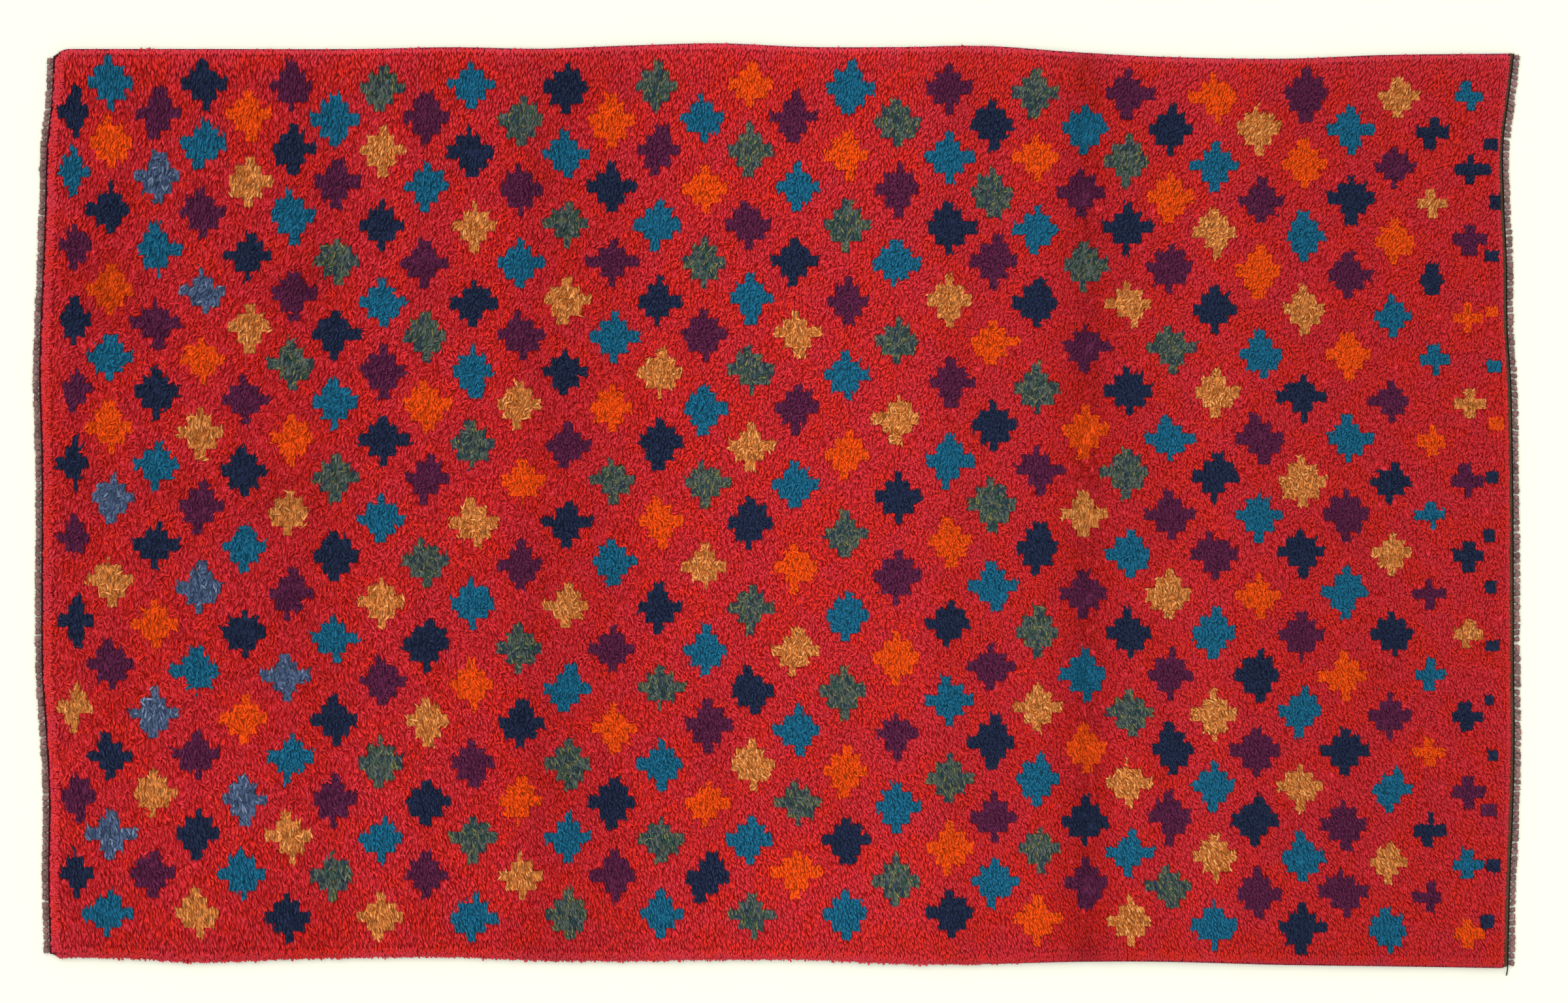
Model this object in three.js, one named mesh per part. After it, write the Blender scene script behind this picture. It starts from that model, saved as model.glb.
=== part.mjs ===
// Gabbeh rug: a hand-knotted wool pile rug with short knotted warp ends, lying flat, pile up.
//
// Millimetres. +X runs along the warps, away from the end that the pile leans over.
// +Y runs across the rug, from its near side to its far side. +Z is up from the floor.
// The origin is on the floor, under the middle of the whole rug.

import * as THREE from 'three';

// Overall sizes
const LENGTH = 1900; // from warp tips to warp tips, at mid-width
const WIDTH = 1164; // between straight lines along the two long sides
const PILE_TOP = 12; // mean height of the pile above the floor
const PIECE_GAP = 0.3; // between neighbouring pieces

// The wool-bound cord along each long side
const SELVEDGE_WIDTH = 4.4;
const SELVEDGE_HEIGHT = 4;

// Each end, from the tips inwards: knotted warp ends, then a flat-woven strip that carries a twined line
const WARP_END_REACH = 8.5;
const WARP_ENDS = 141; // knotted warp ends at each end of the rug
const WARP_END_ROOT = 4.4; // width where it leaves the strip
const WARP_END_BELLY = { share: 0.45, width: 6, height: 4 };
const WARP_END_TIP = { width: 4.6, height: 2.8 };
const WARP_END_TOP_SHARE = 1 / 3; // how far its upper edges lie from its middle, as a share of its width
const WARP_END_SLANT = 1.6; // how far a tip sits to one side of its root
const WARP_END_SLANT_TURN = 0.13; // how fast the slant changes from one warp end to the next
const WARP_END_UNEVEN = { reach: 1.6, slant: 0.35 };
const STRIP_WIDTH = 6.4;
const STRIP_HEIGHT = 2.8;
const STRIP_SIDE_INSET = 0.5; // its ends, in from the long sides
const TWINING = { width: 2, height: 2, fromStripEdge: 0.3 };
const LOOSE_THREAD = { length: 12, drop: 2.6, steps: 3 }; // past the near corner of the right end

const SIDE_FOUNDATION_INSET = SELVEDGE_WIDTH + PIECE_GAP;
const END_FOUNDATION_INSET = WARP_END_REACH + STRIP_WIDTH + PIECE_GAP;
const FOUNDATION_TOP = 4.4; // where the pile starts to spread over the selvedges and strips

// How far each long side stands out from a straight line, at a share of the length from the left end
const SIDE_WANDER = [
  { at: 0.0, far: 0.8, near: -3.5 },
  { at: 0.06, far: 0.8, near: -3 },
  { at: 0.11, far: 0.8, near: 2.5 },
  { at: 0.16, far: 0.6, near: -0.8 },
  { at: 0.22, far: 0.8, near: -3.8 },
  { at: 0.28, far: 3, near: -4.2 },
  { at: 0.34, far: 1.2, near: 0 },
  { at: 0.4, far: 5.2, near: 0.8 },
  { at: 0.46, far: 8, near: -0.8 },
  { at: 0.52, far: 3.4, near: -0.8 },
  { at: 0.58, far: 3.2, near: 4.4 },
  { at: 0.64, far: 4.6, near: 5.2 },
  { at: 0.7, far: -3.2, near: 2.6 },
  { at: 0.76, far: -9.2, near: 2.5 },
  { at: 0.84, far: -11.6, near: 6.5 },
  { at: 0.91, far: -6.8, near: 8.3 },
  { at: 1.0, far: -5, near: 11 },
];

// How far each end stands out from a straight line, at a share of the width from the near side
const END_WANDER = [
  { at: 0.0, left: -10.8, right: -6.7 },
  { at: 0.09, left: -8.3, right: -4.2 },
  { at: 0.18, left: -9.2, right: 0 },
  { at: 0.25, left: -5, right: 1.6 },
  { at: 0.32, left: 0, right: 0.8 },
  { at: 0.5, left: 0, right: 0 },
  { at: 0.57, left: 0.8, right: -1 },
  { at: 0.64, left: 3.3, right: -3 },
  { at: 0.7, left: 1.7, right: -7.5 },
  { at: 0.77, left: -1.7, right: -8.3 },
  { at: 0.84, left: -4.5, right: -12 },
  { at: 0.9, left: -6.5, right: -13 },
  { at: 0.95, left: -12.5, right: -6 },
  { at: 1.0, left: -15, right: 1 },
];

// Worn corners: the side drops towards the end over this length
const CORNERS = {
  far: { left: { length: 30, drop: 19 }, right: { length: 14, drop: 6 } },
  near: { left: { length: 30, drop: 9 }, right: { length: 22, drop: 7 } },
};

// The pile's rim. Locks point out past a notch on each side of them, at this height.
const LOCK_HEIGHT = 6.4;
const SHOULDER_HEIGHT = 10.2;
const SHOULDER_UNEVEN = 0.5;
const RIM = {
  near: { pitch: 12, tip: 0, notch: 3.4, shoulder: 4.2, crown: 14 },
  right: { pitch: 24, tip: 14.6, notch: 15.4, shoulder: 17, crown: 26 },
  far: { pitch: 24, tip: 1.8, notch: 2.8, shoulder: 4.6, crown: 13 },
  left: { pitch: 12, tip: 11.3, notch: 13.2, shoulder: 14.6, crown: 25 },
};

// Storage folds that still show as shallow troughs across the rug
const CREASES = [
  { x: -300, lean: 0.012, depth: 2.2, width: 11 },
  { x: 397, lean: -0.006, depth: 2.8, width: 12 },
];

// Swells and hollows that the pile has from lying folded
const SWELLS = [
  { x: -850, y: 265, size: 48, rise: -2 },
  { x: -592, y: 285, size: 42, rise: -2.2 },
  { x: -780, y: 10, size: 46, rise: -2 },
  { x: -628, y: 0, size: 44, rise: -2.2 },
  { x: -820, y: 395, size: 60, rise: -1.4 },
  { x: -690, y: 140, size: 80, rise: 1.2 },
  { x: -470, y: -100, size: 110, rise: 1 },
  { x: 30, y: 120, size: 170, rise: 0.9 },
  { x: 120, y: -240, size: 150, rise: 0.7 },
  { x: 640, y: -60, size: 60, rise: -1.2 },
  { x: 690, y: 240, size: 70, rise: 0.8 },
];

// Lumps of the pile: waves along and across, their length and height
const LUMPS = [
  { along: 173, across: 141, height: 0.45, shift: 0.4 },
  { along: -97, across: 123, height: 0.35, shift: 1.9 },
  { along: 61, across: -83, height: 0.25, shift: 3.1 },
];

// Stations: how closely the surface is divided
const EVEN_STEP = 42;
const CORNER_STEPS = [5, 11, 18, 28, 46];
const CREASE_STEPS = [-26, -10, 0, 10, 26];
const STATION_CLEARANCE = 9; // an even station nearer than this to another one is left out

// Reads a wander table by a smooth curve through its rows
function readTable(table, at, column) {
  const last = table.length - 1;
  let i = 0;
  while (i < last - 1 && at > table[i + 1].at) {
    i += 1;
  }
  const slope = (k) => {
    const before = table[Math.max(k - 1, 0)];
    const after = table[Math.min(k + 1, last)];
    return (after[column] - before[column]) / (after.at - before.at);
  };
  const span = table[i + 1].at - table[i].at;
  const t = Math.min(Math.max((at - table[i].at) / span, 0), 1);
  const start = table[i][column] * (1 + 2 * t) * (1 - t) ** 2 + slope(i) * span * t * (1 - t) ** 2;
  const end = table[i + 1][column] * (3 - 2 * t) * t ** 2 - slope(i + 1) * span * t ** 2 * (1 - t);
  return start + end;
}

// An even scatter from -1 to 1 for a whole number and a series
function scatter(index, series) {
  const turned = Math.sin(index * 12.9898 + series * 78.233) * 43758.5453;
  return 2 * (turned - Math.floor(turned)) - 1;
}

function mix(a, b, t) {
  return a + (b - a) * t;
}

const SIDE_SIGN = { near: -1, far: 1 };
const END_SIGN = { left: -1, right: 1 };

// Where an end's warp tips lie, at a share of the width
function endLine(end, across) {
  return END_SIGN[end] * (LENGTH / 2 + readTable(END_WANDER, across, end));
}

// Where a long side lies at x, with its worn corners
function sideLine(side, x) {
  let out = WIDTH / 2 + readTable(SIDE_WANDER, x / LENGTH + 0.5, side);
  for (const end of ['left', 'right']) {
    const corner = CORNERS[side][end];
    const away = Math.abs(x - endLine(end, side === 'far' ? 1 : 0));
    out -= corner.drop * Math.max(0, 1 - away / corner.length) ** 2;
  }
  return SIDE_SIGN[side] * out;
}

// A point beside a curve, at a distance to the left of its direction
function beside(curve, t, distance) {
  const step = 0.0005;
  const [ax, ay] = curve(t - step);
  const [bx, by] = curve(t + step);
  const long = Math.hypot(bx - ax, by - ay);
  const [x, y] = curve(t);
  return [x - ((by - ay) / long) * distance, y + ((bx - ax) / long) * distance];
}

// A long side between its two ends, moved in from the outline by inset
function sidePoint(side, along, inset, endInset) {
  const across = side === 'far' ? 1 : 0;
  const from = endLine('left', across) + endInset.left;
  const to = endLine('right', across) - endInset.right;
  const curve = (t) => [mix(from, to, t), sideLine(side, mix(from, to, t))];
  return beside(curve, along, -SIDE_SIGN[side] * inset);
}

// An end between the two long sides, moved in by inset and met exactly by them at its corners
function endPoint(end, across, inset, sideInset, endInset) {
  const along = end === 'left' ? 0 : 1;
  const near = sidePoint('near', along, sideInset.near, endInset);
  const far = sidePoint('far', along, sideInset.far, endInset);
  const curve = (t) => [endLine(end, t), mix(near[1], far[1], t)];
  const [x, y] = beside(curve, across, END_SIGN[end] * inset);
  const nearMiss = near[0] - beside(curve, 0, END_SIGN[end] * inset)[0];
  const farMiss = far[0] - beside(curve, 1, END_SIGN[end] * inset)[0];
  return [x + mix(nearMiss, farMiss, across), y];
}

// A closed mesh put together from points and faces
class Solid {
  constructor() {
    this.points = [];
    this.faces = [];
  }

  point(x, y, z) {
    this.points.push(x, y, z);
    return this.points.length / 3 - 1;
  }

  quad(a, b, c, d) {
    this.faces.push(a, b, c, a, c, d);
  }

  // Joins two lines of points that start and end together, each with a place from 0 upwards
  join(lower, upper) {
    let i = 0;
    let j = 0;
    while (i < lower.length - 1 || j < upper.length - 1) {
      const nextLower = i < lower.length - 1 ? lower[i + 1].place : Infinity;
      const nextUpper = j < upper.length - 1 ? upper[j + 1].place : Infinity;
      if (nextLower <= nextUpper) {
        this.faces.push(lower[i].index, lower[i + 1].index, upper[j].index);
        i += 1;
      } else {
        this.faces.push(lower[i].index, upper[j + 1].index, upper[j].index);
        j += 1;
      }
    }
  }

  // Tubes a section along a list of rings of point numbers, closed at both ends
  tube(rings) {
    const sides = rings[0].length;
    for (let i = 0; i < rings.length - 1; i += 1) {
      for (let k = 0; k < sides; k += 1) {
        const next = (k + 1) % sides;
        this.quad(rings[i][k], rings[i][next], rings[i + 1][next], rings[i + 1][k]);
      }
    }
    this.cap(rings[0].slice().reverse());
    this.cap(rings[rings.length - 1]);
  }

  cap(ring) {
    for (let k = 1; k < ring.length - 1; k += 1) {
      this.faces.push(ring[0], ring[k], ring[k + 1]);
    }
  }

  // The volume inside the faces, which is negative while they face inwards
  volume() {
    const corner = (index) => new THREE.Vector3().fromArray(this.points, index * 3);
    let sum = 0;
    for (let i = 0; i < this.faces.length; i += 3) {
      const [a, b, c] = this.faces.slice(i, i + 3).map(corner);
      sum += a.dot(b.cross(c)) / 6;
    }
    return sum;
  }

  geometry() {
    const inwards = this.volume() < 0;
    const faces = [];
    for (let i = 0; i < this.faces.length; i += 3) {
      const [a, b, c] = this.faces.slice(i, i + 3);
      faces.push(a, inwards ? c : b, inwards ? b : c);
    }
    const geometry = new THREE.BufferGeometry();
    geometry.setAttribute('position', new THREE.Float32BufferAttribute(this.points, 3));
    geometry.setIndex(faces);
    geometry.computeVertexNormals();
    return geometry;
  }
}

// Shares of a length, from 0 to 1: close together at its ends and at the places given, even between
function stations(length, places) {
  const set = [0, length];
  for (const step of CORNER_STEPS) {
    set.push(step, length - step);
  }
  for (const place of places) {
    set.push(...CREASE_STEPS.map((step) => place + step));
  }
  const evenCount = Math.round(length / EVEN_STEP);
  for (let i = 1; i < evenCount; i += 1) {
    const place = (i * length) / evenCount;
    if (set.every((other) => Math.abs(other - place) > STATION_CLEARANCE)) {
      set.push(place);
    }
  }
  return set.sort((a, b) => a - b).map((place) => place / length);
}

const creasePlaces = CREASES.map((crease) => crease.x + LENGTH / 2 - END_FOUNDATION_INSET);
const COLUMNS = stations(LENGTH - 2 * END_FOUNDATION_INSET, creasePlaces);
const ROWS = stations(WIDTH - 2 * SIDE_FOUNDATION_INSET, []);

// The pile's surface above the floor
function pileHeight(x, y) {
  let height = PILE_TOP;
  for (const crease of CREASES) {
    const away = (x - crease.x - crease.lean * y) / crease.width;
    height -= crease.depth * Math.exp(-away * away);
  }
  for (const swell of SWELLS) {
    const away = ((x - swell.x) ** 2 + (y - swell.y) ** 2) / swell.size ** 2;
    height += swell.rise * Math.exp(-away);
  }
  for (const lump of LUMPS) {
    const turn = 2 * Math.PI * (x / lump.along + y / lump.across) + lump.shift;
    height += lump.height * Math.sin(turn);
  }
  return height;
}

// Goes once round the rug, near, right, far and left, and gives the place, x and y of each station
function around(insetOf, sharesOf) {
  const order = ['near', 'right', 'far', 'left'];
  const found = [];
  order.forEach((side, turn) => {
    const shares = sharesOf(side);
    const backwards = side === 'far' || side === 'left';
    for (let i = 0; i < shares.length - 1; i += 1) {
      const share = backwards ? 1 - shares[i] : shares[i];
      const inset = insetOf(side, i);
      const sideInset = { near: inset.near, far: inset.far };
      const endInset = { left: inset.left, right: inset.right };
      const isSide = side === 'near' || side === 'far';
      const [x, y] = isSide
        ? sidePoint(side, share, inset[side], endInset)
        : endPoint(side, share, inset[side], sideInset, endInset);
      found.push({ place: turn + shares[i], x, y });
    }
  });
  return found;
}

// Shares from 0 to 1 in equal steps
function equalShares(count) {
  return Array.from({ length: count + 1 }, (_, i) => i / count);
}

// The coarse stations of a side, in the order in which around meets them
function coarseShares(side) {
  const shares = side === 'near' || side === 'far' ? COLUMNS : ROWS;
  return side === 'far' || side === 'left' ? shares.map((share) => 1 - share).reverse() : shares;
}

// Two stations to each lock: a notch, then the lock's tip
function lockShares(side) {
  const length = side === 'near' || side === 'far' ? LENGTH : WIDTH;
  return equalShares(2 * Math.round(length / RIM[side].pitch));
}

// The insets of the four sides from one column of the rim table
function rimInset(column) {
  return {
    near: RIM.near[column],
    right: RIM.right[column],
    far: RIM.far[column],
    left: RIM.left[column],
  };
}

// The knotted body: its woven foundation and its pile, in one piece with a flat underside
function makeBody() {
  const solid = new Solid();
  const foundation = {
    near: SIDE_FOUNDATION_INSET,
    far: SIDE_FOUNDATION_INSET,
    left: END_FOUNDATION_INSET,
    right: END_FOUNDATION_INSET,
  };
  const ring = (found, heightOf) =>
    found.map((spot, i) => ({
      place: spot.place,
      x: spot.x,
      y: spot.y,
      index: solid.point(spot.x, spot.y, heightOf(spot, i)),
    }));
  const closed = (points) => [...points, { place: 4, index: points[0].index }];

  const edge = around(() => foundation, coarseShares);
  const floor = ring(edge, () => 0);
  const top = ring(edge, () => FOUNDATION_TOP);
  const locks = ring(
    around((side, i) => {
      const inset = rimInset('notch');
      if (i % 2 === 1) {
        inset[side] = RIM[side].tip;
      }
      return inset;
    }, lockShares),
    (spot, i) => LOCK_HEIGHT + SHOULDER_UNEVEN * scatter(i, 1),
  );
  const shoulder = ring(
    around(() => rimInset('shoulder'), lockShares),
    (spot, i) => SHOULDER_HEIGHT + SHOULDER_UNEVEN * scatter(i, 2),
  );
  const crown = ring(
    around(() => rimInset('crown'), coarseShares),
    (spot) => pileHeight(spot.x, spot.y),
  );
  solid.join(closed(floor), closed(top));
  solid.join(closed(top), closed(locks));
  solid.join(closed(locks), closed(shoulder));
  solid.join(closed(shoulder), closed(crown));

  // The underside, facing down
  const outline = floor.map((spot) => new THREE.Vector2(spot.x, spot.y));
  for (const [a, b, c] of THREE.ShapeUtils.triangulateShape(outline, [])) {
    solid.faces.push(floor[a].index, floor[c].index, floor[b].index);
  }

  // The pile inside the crown, a grid between its four edges
  const columns = COLUMNS.length - 1;
  const rows = ROWS.length - 1;
  const near = (i) => crown[i];
  const right = (j) => crown[columns + j];
  const far = (i) => crown[2 * columns + rows - i];
  const left = (j) => crown[(2 * columns + 2 * rows - j) % crown.length];
  const grid = [];
  for (let i = 0; i <= columns; i += 1) {
    grid.push([]);
    for (let j = 0; j <= rows; j += 1) {
      const edgeSpot = (j === 0 && near(i)) || (j === rows && far(i)) || (i === 0 && left(j));
      const spot = edgeSpot || (i === columns && right(j));
      if (spot) {
        grid[i].push(spot.index);
        continue;
      }
      const s = COLUMNS[i];
      const t = ROWS[j];
      const blend = (axis) => {
        const across = mix(near(i)[axis], far(i)[axis], t);
        const along = mix(left(j)[axis], right(j)[axis], s);
        const low = mix(near(0)[axis], near(columns)[axis], s);
        const high = mix(far(0)[axis], far(columns)[axis], s);
        return across + along - mix(low, high, t);
      };
      const x = blend('x');
      const y = blend('y');
      grid[i].push(solid.point(x, y, pileHeight(x, y)));
    }
  }
  for (let i = 0; i < columns; i += 1) {
    for (let j = 0; j < rows; j += 1) {
      solid.quad(grid[i][j], grid[i + 1][j], grid[i + 1][j + 1], grid[i][j + 1]);
    }
  }
  return solid.geometry();
}

// The overcast cord along one long side, flat where it lies on the floor
function makeSelvedge(side) {
  const solid = new Solid();
  const section = [
    { inset: 0.22, height: 0 },
    { inset: 0.78, height: 0 },
    { inset: 1, height: 0.45 },
    { inset: 0.75, height: 1 },
    { inset: 0.25, height: 1 },
    { inset: 0, height: 0.45 },
  ];
  const ends = { left: END_FOUNDATION_INSET, right: END_FOUNDATION_INSET };
  const rings = COLUMNS.map((along) =>
    section.map((corner) => {
      const [x, y] = sidePoint(side, along, corner.inset * SELVEDGE_WIDTH, ends);
      return solid.point(x, y, corner.height * SELVEDGE_HEIGHT);
    }),
  );
  solid.tube(rings);
  return solid.geometry();
}

// A line across one end, at an inset from the warp tips and from the long sides
function acrossEnd(end, across, inset, fromSides) {
  const sideInset = { near: fromSides, far: fromSides };
  const endInset = { left: inset, right: inset };
  return endPoint(end, across, inset, sideInset, endInset);
}

// The flat-woven strip across one end, with its warps knotted into short cords that lie on the floor
function makeWarpEnds(end) {
  const solid = new Solid();
  const spot = (place, x, y, height) => ({ place, x, y, index: solid.point(x, y, height) });
  const outerLine = (shares, height) =>
    shares.map((share) => {
      const [x, y] = acrossEnd(end, share, WARP_END_REACH, STRIP_SIDE_INSET);
      return spot(share, x, y, height);
    });
  const inner = WARP_END_REACH + STRIP_WIDTH;
  const innerLine = (height) => {
    const margin = SIDE_FOUNDATION_INSET / WIDTH;
    const spots = ROWS.map((share) => {
      const [x, y] = acrossEnd(end, share, inner, SIDE_FOUNDATION_INSET);
      return spot(mix(margin, 1 - margin, share), x, y, height);
    });
    const corner = (across) => spot(across, ...acrossEnd(end, across, inner, STRIP_SIDE_INSET), height);
    return [corner(0), ...spots, corner(1)];
  };
  const rootShare = WARP_END_ROOT / WIDTH / 2;
  const middles = Array.from({ length: WARP_ENDS }, (_, k) => (k + 0.5) / WARP_ENDS);
  const outer = [0, ...middles.flatMap((middle) => [middle - rootShare, middle + rootShare]), 1];
  const outerFloor = outerLine(outer, 0);
  const outerTop = outerLine(outer, STRIP_HEIGHT);
  const innerFloor = innerLine(0);
  const innerTop = innerLine(STRIP_HEIGHT);
  solid.join(innerTop, outerTop);
  solid.join(outerFloor, innerFloor);
  solid.join(innerFloor, innerTop);

  const wall = (i) => [
    outerFloor[i].index,
    outerFloor[i + 1].index,
    outerTop[i + 1].index,
    outerTop[i].index,
  ];
  const closing = (spots) => spots[spots.length - 1].index;
  solid.quad(outerFloor[0].index, innerFloor[0].index, innerTop[0].index, outerTop[0].index);
  solid.quad(closing(innerFloor), closing(outerFloor), closing(outerTop), closing(innerTop));
  for (let i = 0; i < outer.length - 1; i += 2) {
    solid.quad(...wall(i).reverse());
  }
  middles.forEach((middle, k) => {
    const root = 2 * k + 1;
    const x = (outerFloor[root].x + outerFloor[root + 1].x) / 2;
    const y = (outerFloor[root].y + outerFloor[root + 1].y) / 2;
    const reach = WARP_END_REACH + (WARP_END_UNEVEN.reach * (scatter(k, 3) - 1)) / 2;
    const lean = Math.sin(k * WARP_END_SLANT_TURN) * WARP_END_SLANT;
    const slant = lean + WARP_END_UNEVEN.slant * scatter(k, 4);
    const section = (share, size) => {
      const atX = x + END_SIGN[end] * reach * share;
      const atY = y + slant * share;
      return [
        solid.point(atX, atY - size.width / 2, 0),
        solid.point(atX, atY + size.width / 2, 0),
        solid.point(atX, atY + size.width * WARP_END_TOP_SHARE, size.height),
        solid.point(atX, atY - size.width * WARP_END_TOP_SHARE, size.height),
      ];
    };
    const rings = [wall(root), section(WARP_END_BELLY.share, WARP_END_BELLY), section(1, WARP_END_TIP)];
    for (let i = 0; i < 2; i += 1) {
      for (let side = 0; side < 4; side += 1) {
        const next = (side + 1) % 4;
        solid.quad(rings[i][next], rings[i][side], rings[i + 1][side], rings[i + 1][next]);
      }
    }
    solid.cap(rings[2].slice().reverse());
  });
  return solid.geometry();
}

// The twined line that lies on the strip of one end. The right one ends in a loose thread at the near corner.
function makeTwining(end) {
  const solid = new Solid();
  const low = STRIP_HEIGHT + PIECE_GAP;
  const near = WARP_END_REACH + TWINING.fromStripEdge;
  const ring = (across, drop, onwards) => {
    const [ax, ay] = acrossEnd(end, across, near, STRIP_SIDE_INSET);
    const [bx, by] = acrossEnd(end, across, near + TWINING.width, STRIP_SIDE_INSET);
    return [
      solid.point(ax, ay - onwards, low - drop),
      solid.point(ax, ay - onwards, low + TWINING.height - drop),
      solid.point(bx, by - onwards, low + TWINING.height - drop),
      solid.point(bx, by - onwards, low - drop),
    ];
  };
  const rings = [];
  if (end === 'right') {
    for (let i = LOOSE_THREAD.steps; i > 0; i -= 1) {
      const share = i / LOOSE_THREAD.steps;
      rings.push(ring(0, LOOSE_THREAD.drop * share, LOOSE_THREAD.length * share));
    }
  }
  rings.push(...ROWS.map((across) => ring(across, 0, 0)));
  solid.tube(rings);
  return solid.geometry();
}

const redPile = new THREE.MeshStandardMaterial({ color: 0xb22725, roughness: 0.95, metalness: 0 });
const edgeWool = new THREE.MeshStandardMaterial({ color: 0x5c1f2b, roughness: 0.9, metalness: 0 });
const warpYarn = new THREE.MeshStandardMaterial({ color: 0x8a736d, roughness: 0.9, metalness: 0 });
const darkThread = new THREE.MeshStandardMaterial({ color: 0x1f1b1f, roughness: 0.85, metalness: 0 });

const rug = new THREE.Group();

function add(name, geometry, material) {
  const mesh = new THREE.Mesh(geometry, material.clone());
  mesh.name = name;
  rug.add(mesh);
}

add('rug_body', makeBody(), redPile);
for (const side of ['near', 'far']) {
  add(`selvedge_${side}`, makeSelvedge(side), edgeWool);
}
for (const end of ['left', 'right']) {
  add(`warp_ends_${end}`, makeWarpEnds(end), warpYarn);
  add(`twining_${end}`, makeTwining(end), darkThread);
}

// The rug's middle goes over the origin
const middle = new THREE.Box3().setFromObject(rug).getCenter(new THREE.Vector3());
rug.position.set(-middle.x, -middle.y, 0);
rug.updateMatrixWorld(true);

export default rug;
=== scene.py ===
"""A gabbeh rug's looks: wool pile tuft by tuft, overcast sides, twined lines and knotted warp ends."""

import math
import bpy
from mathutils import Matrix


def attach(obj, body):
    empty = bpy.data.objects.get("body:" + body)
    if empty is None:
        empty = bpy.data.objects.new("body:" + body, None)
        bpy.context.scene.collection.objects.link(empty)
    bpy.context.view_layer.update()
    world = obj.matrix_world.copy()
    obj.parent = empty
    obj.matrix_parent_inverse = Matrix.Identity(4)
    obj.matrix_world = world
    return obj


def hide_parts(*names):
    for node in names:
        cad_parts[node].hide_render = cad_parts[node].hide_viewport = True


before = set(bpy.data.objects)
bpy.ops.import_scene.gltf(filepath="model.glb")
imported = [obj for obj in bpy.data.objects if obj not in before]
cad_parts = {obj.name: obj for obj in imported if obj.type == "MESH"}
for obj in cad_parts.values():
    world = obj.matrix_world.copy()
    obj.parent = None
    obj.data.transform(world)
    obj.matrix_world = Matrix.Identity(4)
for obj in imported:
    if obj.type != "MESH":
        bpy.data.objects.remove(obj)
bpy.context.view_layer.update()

from types import SimpleNamespace as Sizes

import bpy
import numpy as np


def table(columns, *rows):
    """Columns of numbers under their names, the first one for the place."""
    return dict(zip(columns.split(), np.array(rows, float).T))


# Sizes are in millimetres, in the outline's own frame: its tables are read about x = 0 and y = 0.
MM = 0.001
CENTRE = (0.7715, 6.1635, 0)  # moves that frame onto the part's, whose origin is under the rug's middle

# The outline, as in the part's source
LENGTH = 1900
WIDTH = 1164
PILE_TOP = 12
PIECE_GAP = 0.3
SELVEDGE_WIDTH = 4.4
SELVEDGE_HEIGHT = 4
WARP_END_REACH = 8.5
WARP_ENDS = 141
WARP_END_SLANT = 1.6
WARP_END_SLANT_TURN = 0.13
WARP_END_UNEVEN = 1.6
STRIP_WIDTH = 6.4
STRIP_HEIGHT = 2.8
STRIP_SIDE_INSET = 0.5
TWINING_WIDTH = 2
TWINING_HEIGHT = 2
TWINING_FROM_STRIP_EDGE = 0.3
LOOSE_THREAD = Sizes(length=12, drop=2.6, bend=1.2, rings=18)
SIDE_FOUNDATION_INSET = SELVEDGE_WIDTH + PIECE_GAP
END_FOUNDATION_INSET = WARP_END_REACH + STRIP_WIDTH + PIECE_GAP

SIDE_WANDER = table(
    "at far near",
    (0.0, 0.8, -3.5), (0.06, 0.8, -3), (0.11, 0.8, 2.5), (0.16, 0.6, -0.8), (0.22, 0.8, -3.8),
    (0.28, 3, -4.2), (0.34, 1.2, 0), (0.4, 5.2, 0.8), (0.46, 8, -0.8), (0.52, 3.4, -0.8),
    (0.58, 3.2, 4.4), (0.64, 4.6, 5.2), (0.7, -3.2, 2.6), (0.76, -9.2, 2.5), (0.84, -11.6, 6.5),
    (0.91, -6.8, 8.3), (1.0, -5, 11),
)
END_WANDER = table(
    "at left right",
    (0.0, -10.8, -6.7), (0.09, -8.3, -4.2), (0.18, -9.2, 0), (0.25, -5, 1.6), (0.32, 0, 0.8),
    (0.5, 0, 0), (0.57, 0.8, -1), (0.64, 3.3, -3), (0.7, 1.7, -7.5), (0.77, -1.7, -8.3),
    (0.84, -4.5, -12), (0.9, -6.5, -13), (0.95, -12.5, -6), (1.0, -15, 1),
)
CORNERS = {  # how long and how deep each one is worn
    "far": {"left": (30, 19), "right": (14, 6)},
    "near": {"left": (30, 9), "right": (22, 7)},
}
CREASES = [(-300, 0.012, 2.2, 11), (397, -0.006, 2.8, 12)]  # x, lean, depth, width
SWELLS = [  # x, y, size, rise
    (-850, 265, 48, -2), (-592, 285, 42, -2.2), (-780, 10, 46, -2), (-628, 0, 44, -2.2),
    (-820, 395, 60, -1.4), (-690, 140, 80, 1.2), (-470, -100, 110, 1), (30, 120, 170, 0.9),
    (120, -240, 150, 0.7), (640, -60, 60, -1.2), (690, 240, 70, 0.8),
]
LUMPS = [  # length along, length across, height, shift
    (173, 141, 0.45, 0.4), (-97, 123, 0.35, 1.9), (61, -83, 0.25, 3.1),
]

SIDE_SIGN = {"near": -1, "far": 1}
END_SIGN = {"left": -1, "right": 1}
SIDES = {"near": (0, -1), "right": (1, 0), "far": (0, 1), "left": (-1, 0)}  # and their way outwards

# Where the pile's tips end on each side, in from the outline, and where its roots end
TIP_INSET = {"near": 0.4, "right": 14.6, "far": 1.8, "left": 11.3}
ROOT_INSET = {"near": 6.5, "right": 17.5, "far": 6.5, "left": 17.5}
RIM_TIP_INSET = {"near": -0.6, "right": 13.0, "far": 1.4, "left": 9.7}  # of the locks over the rim
RIM_LOW = 5.4  # height of the lowest tips at the rim
RIM_ROUND = 16  # from the rim to the pile's full height

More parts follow.
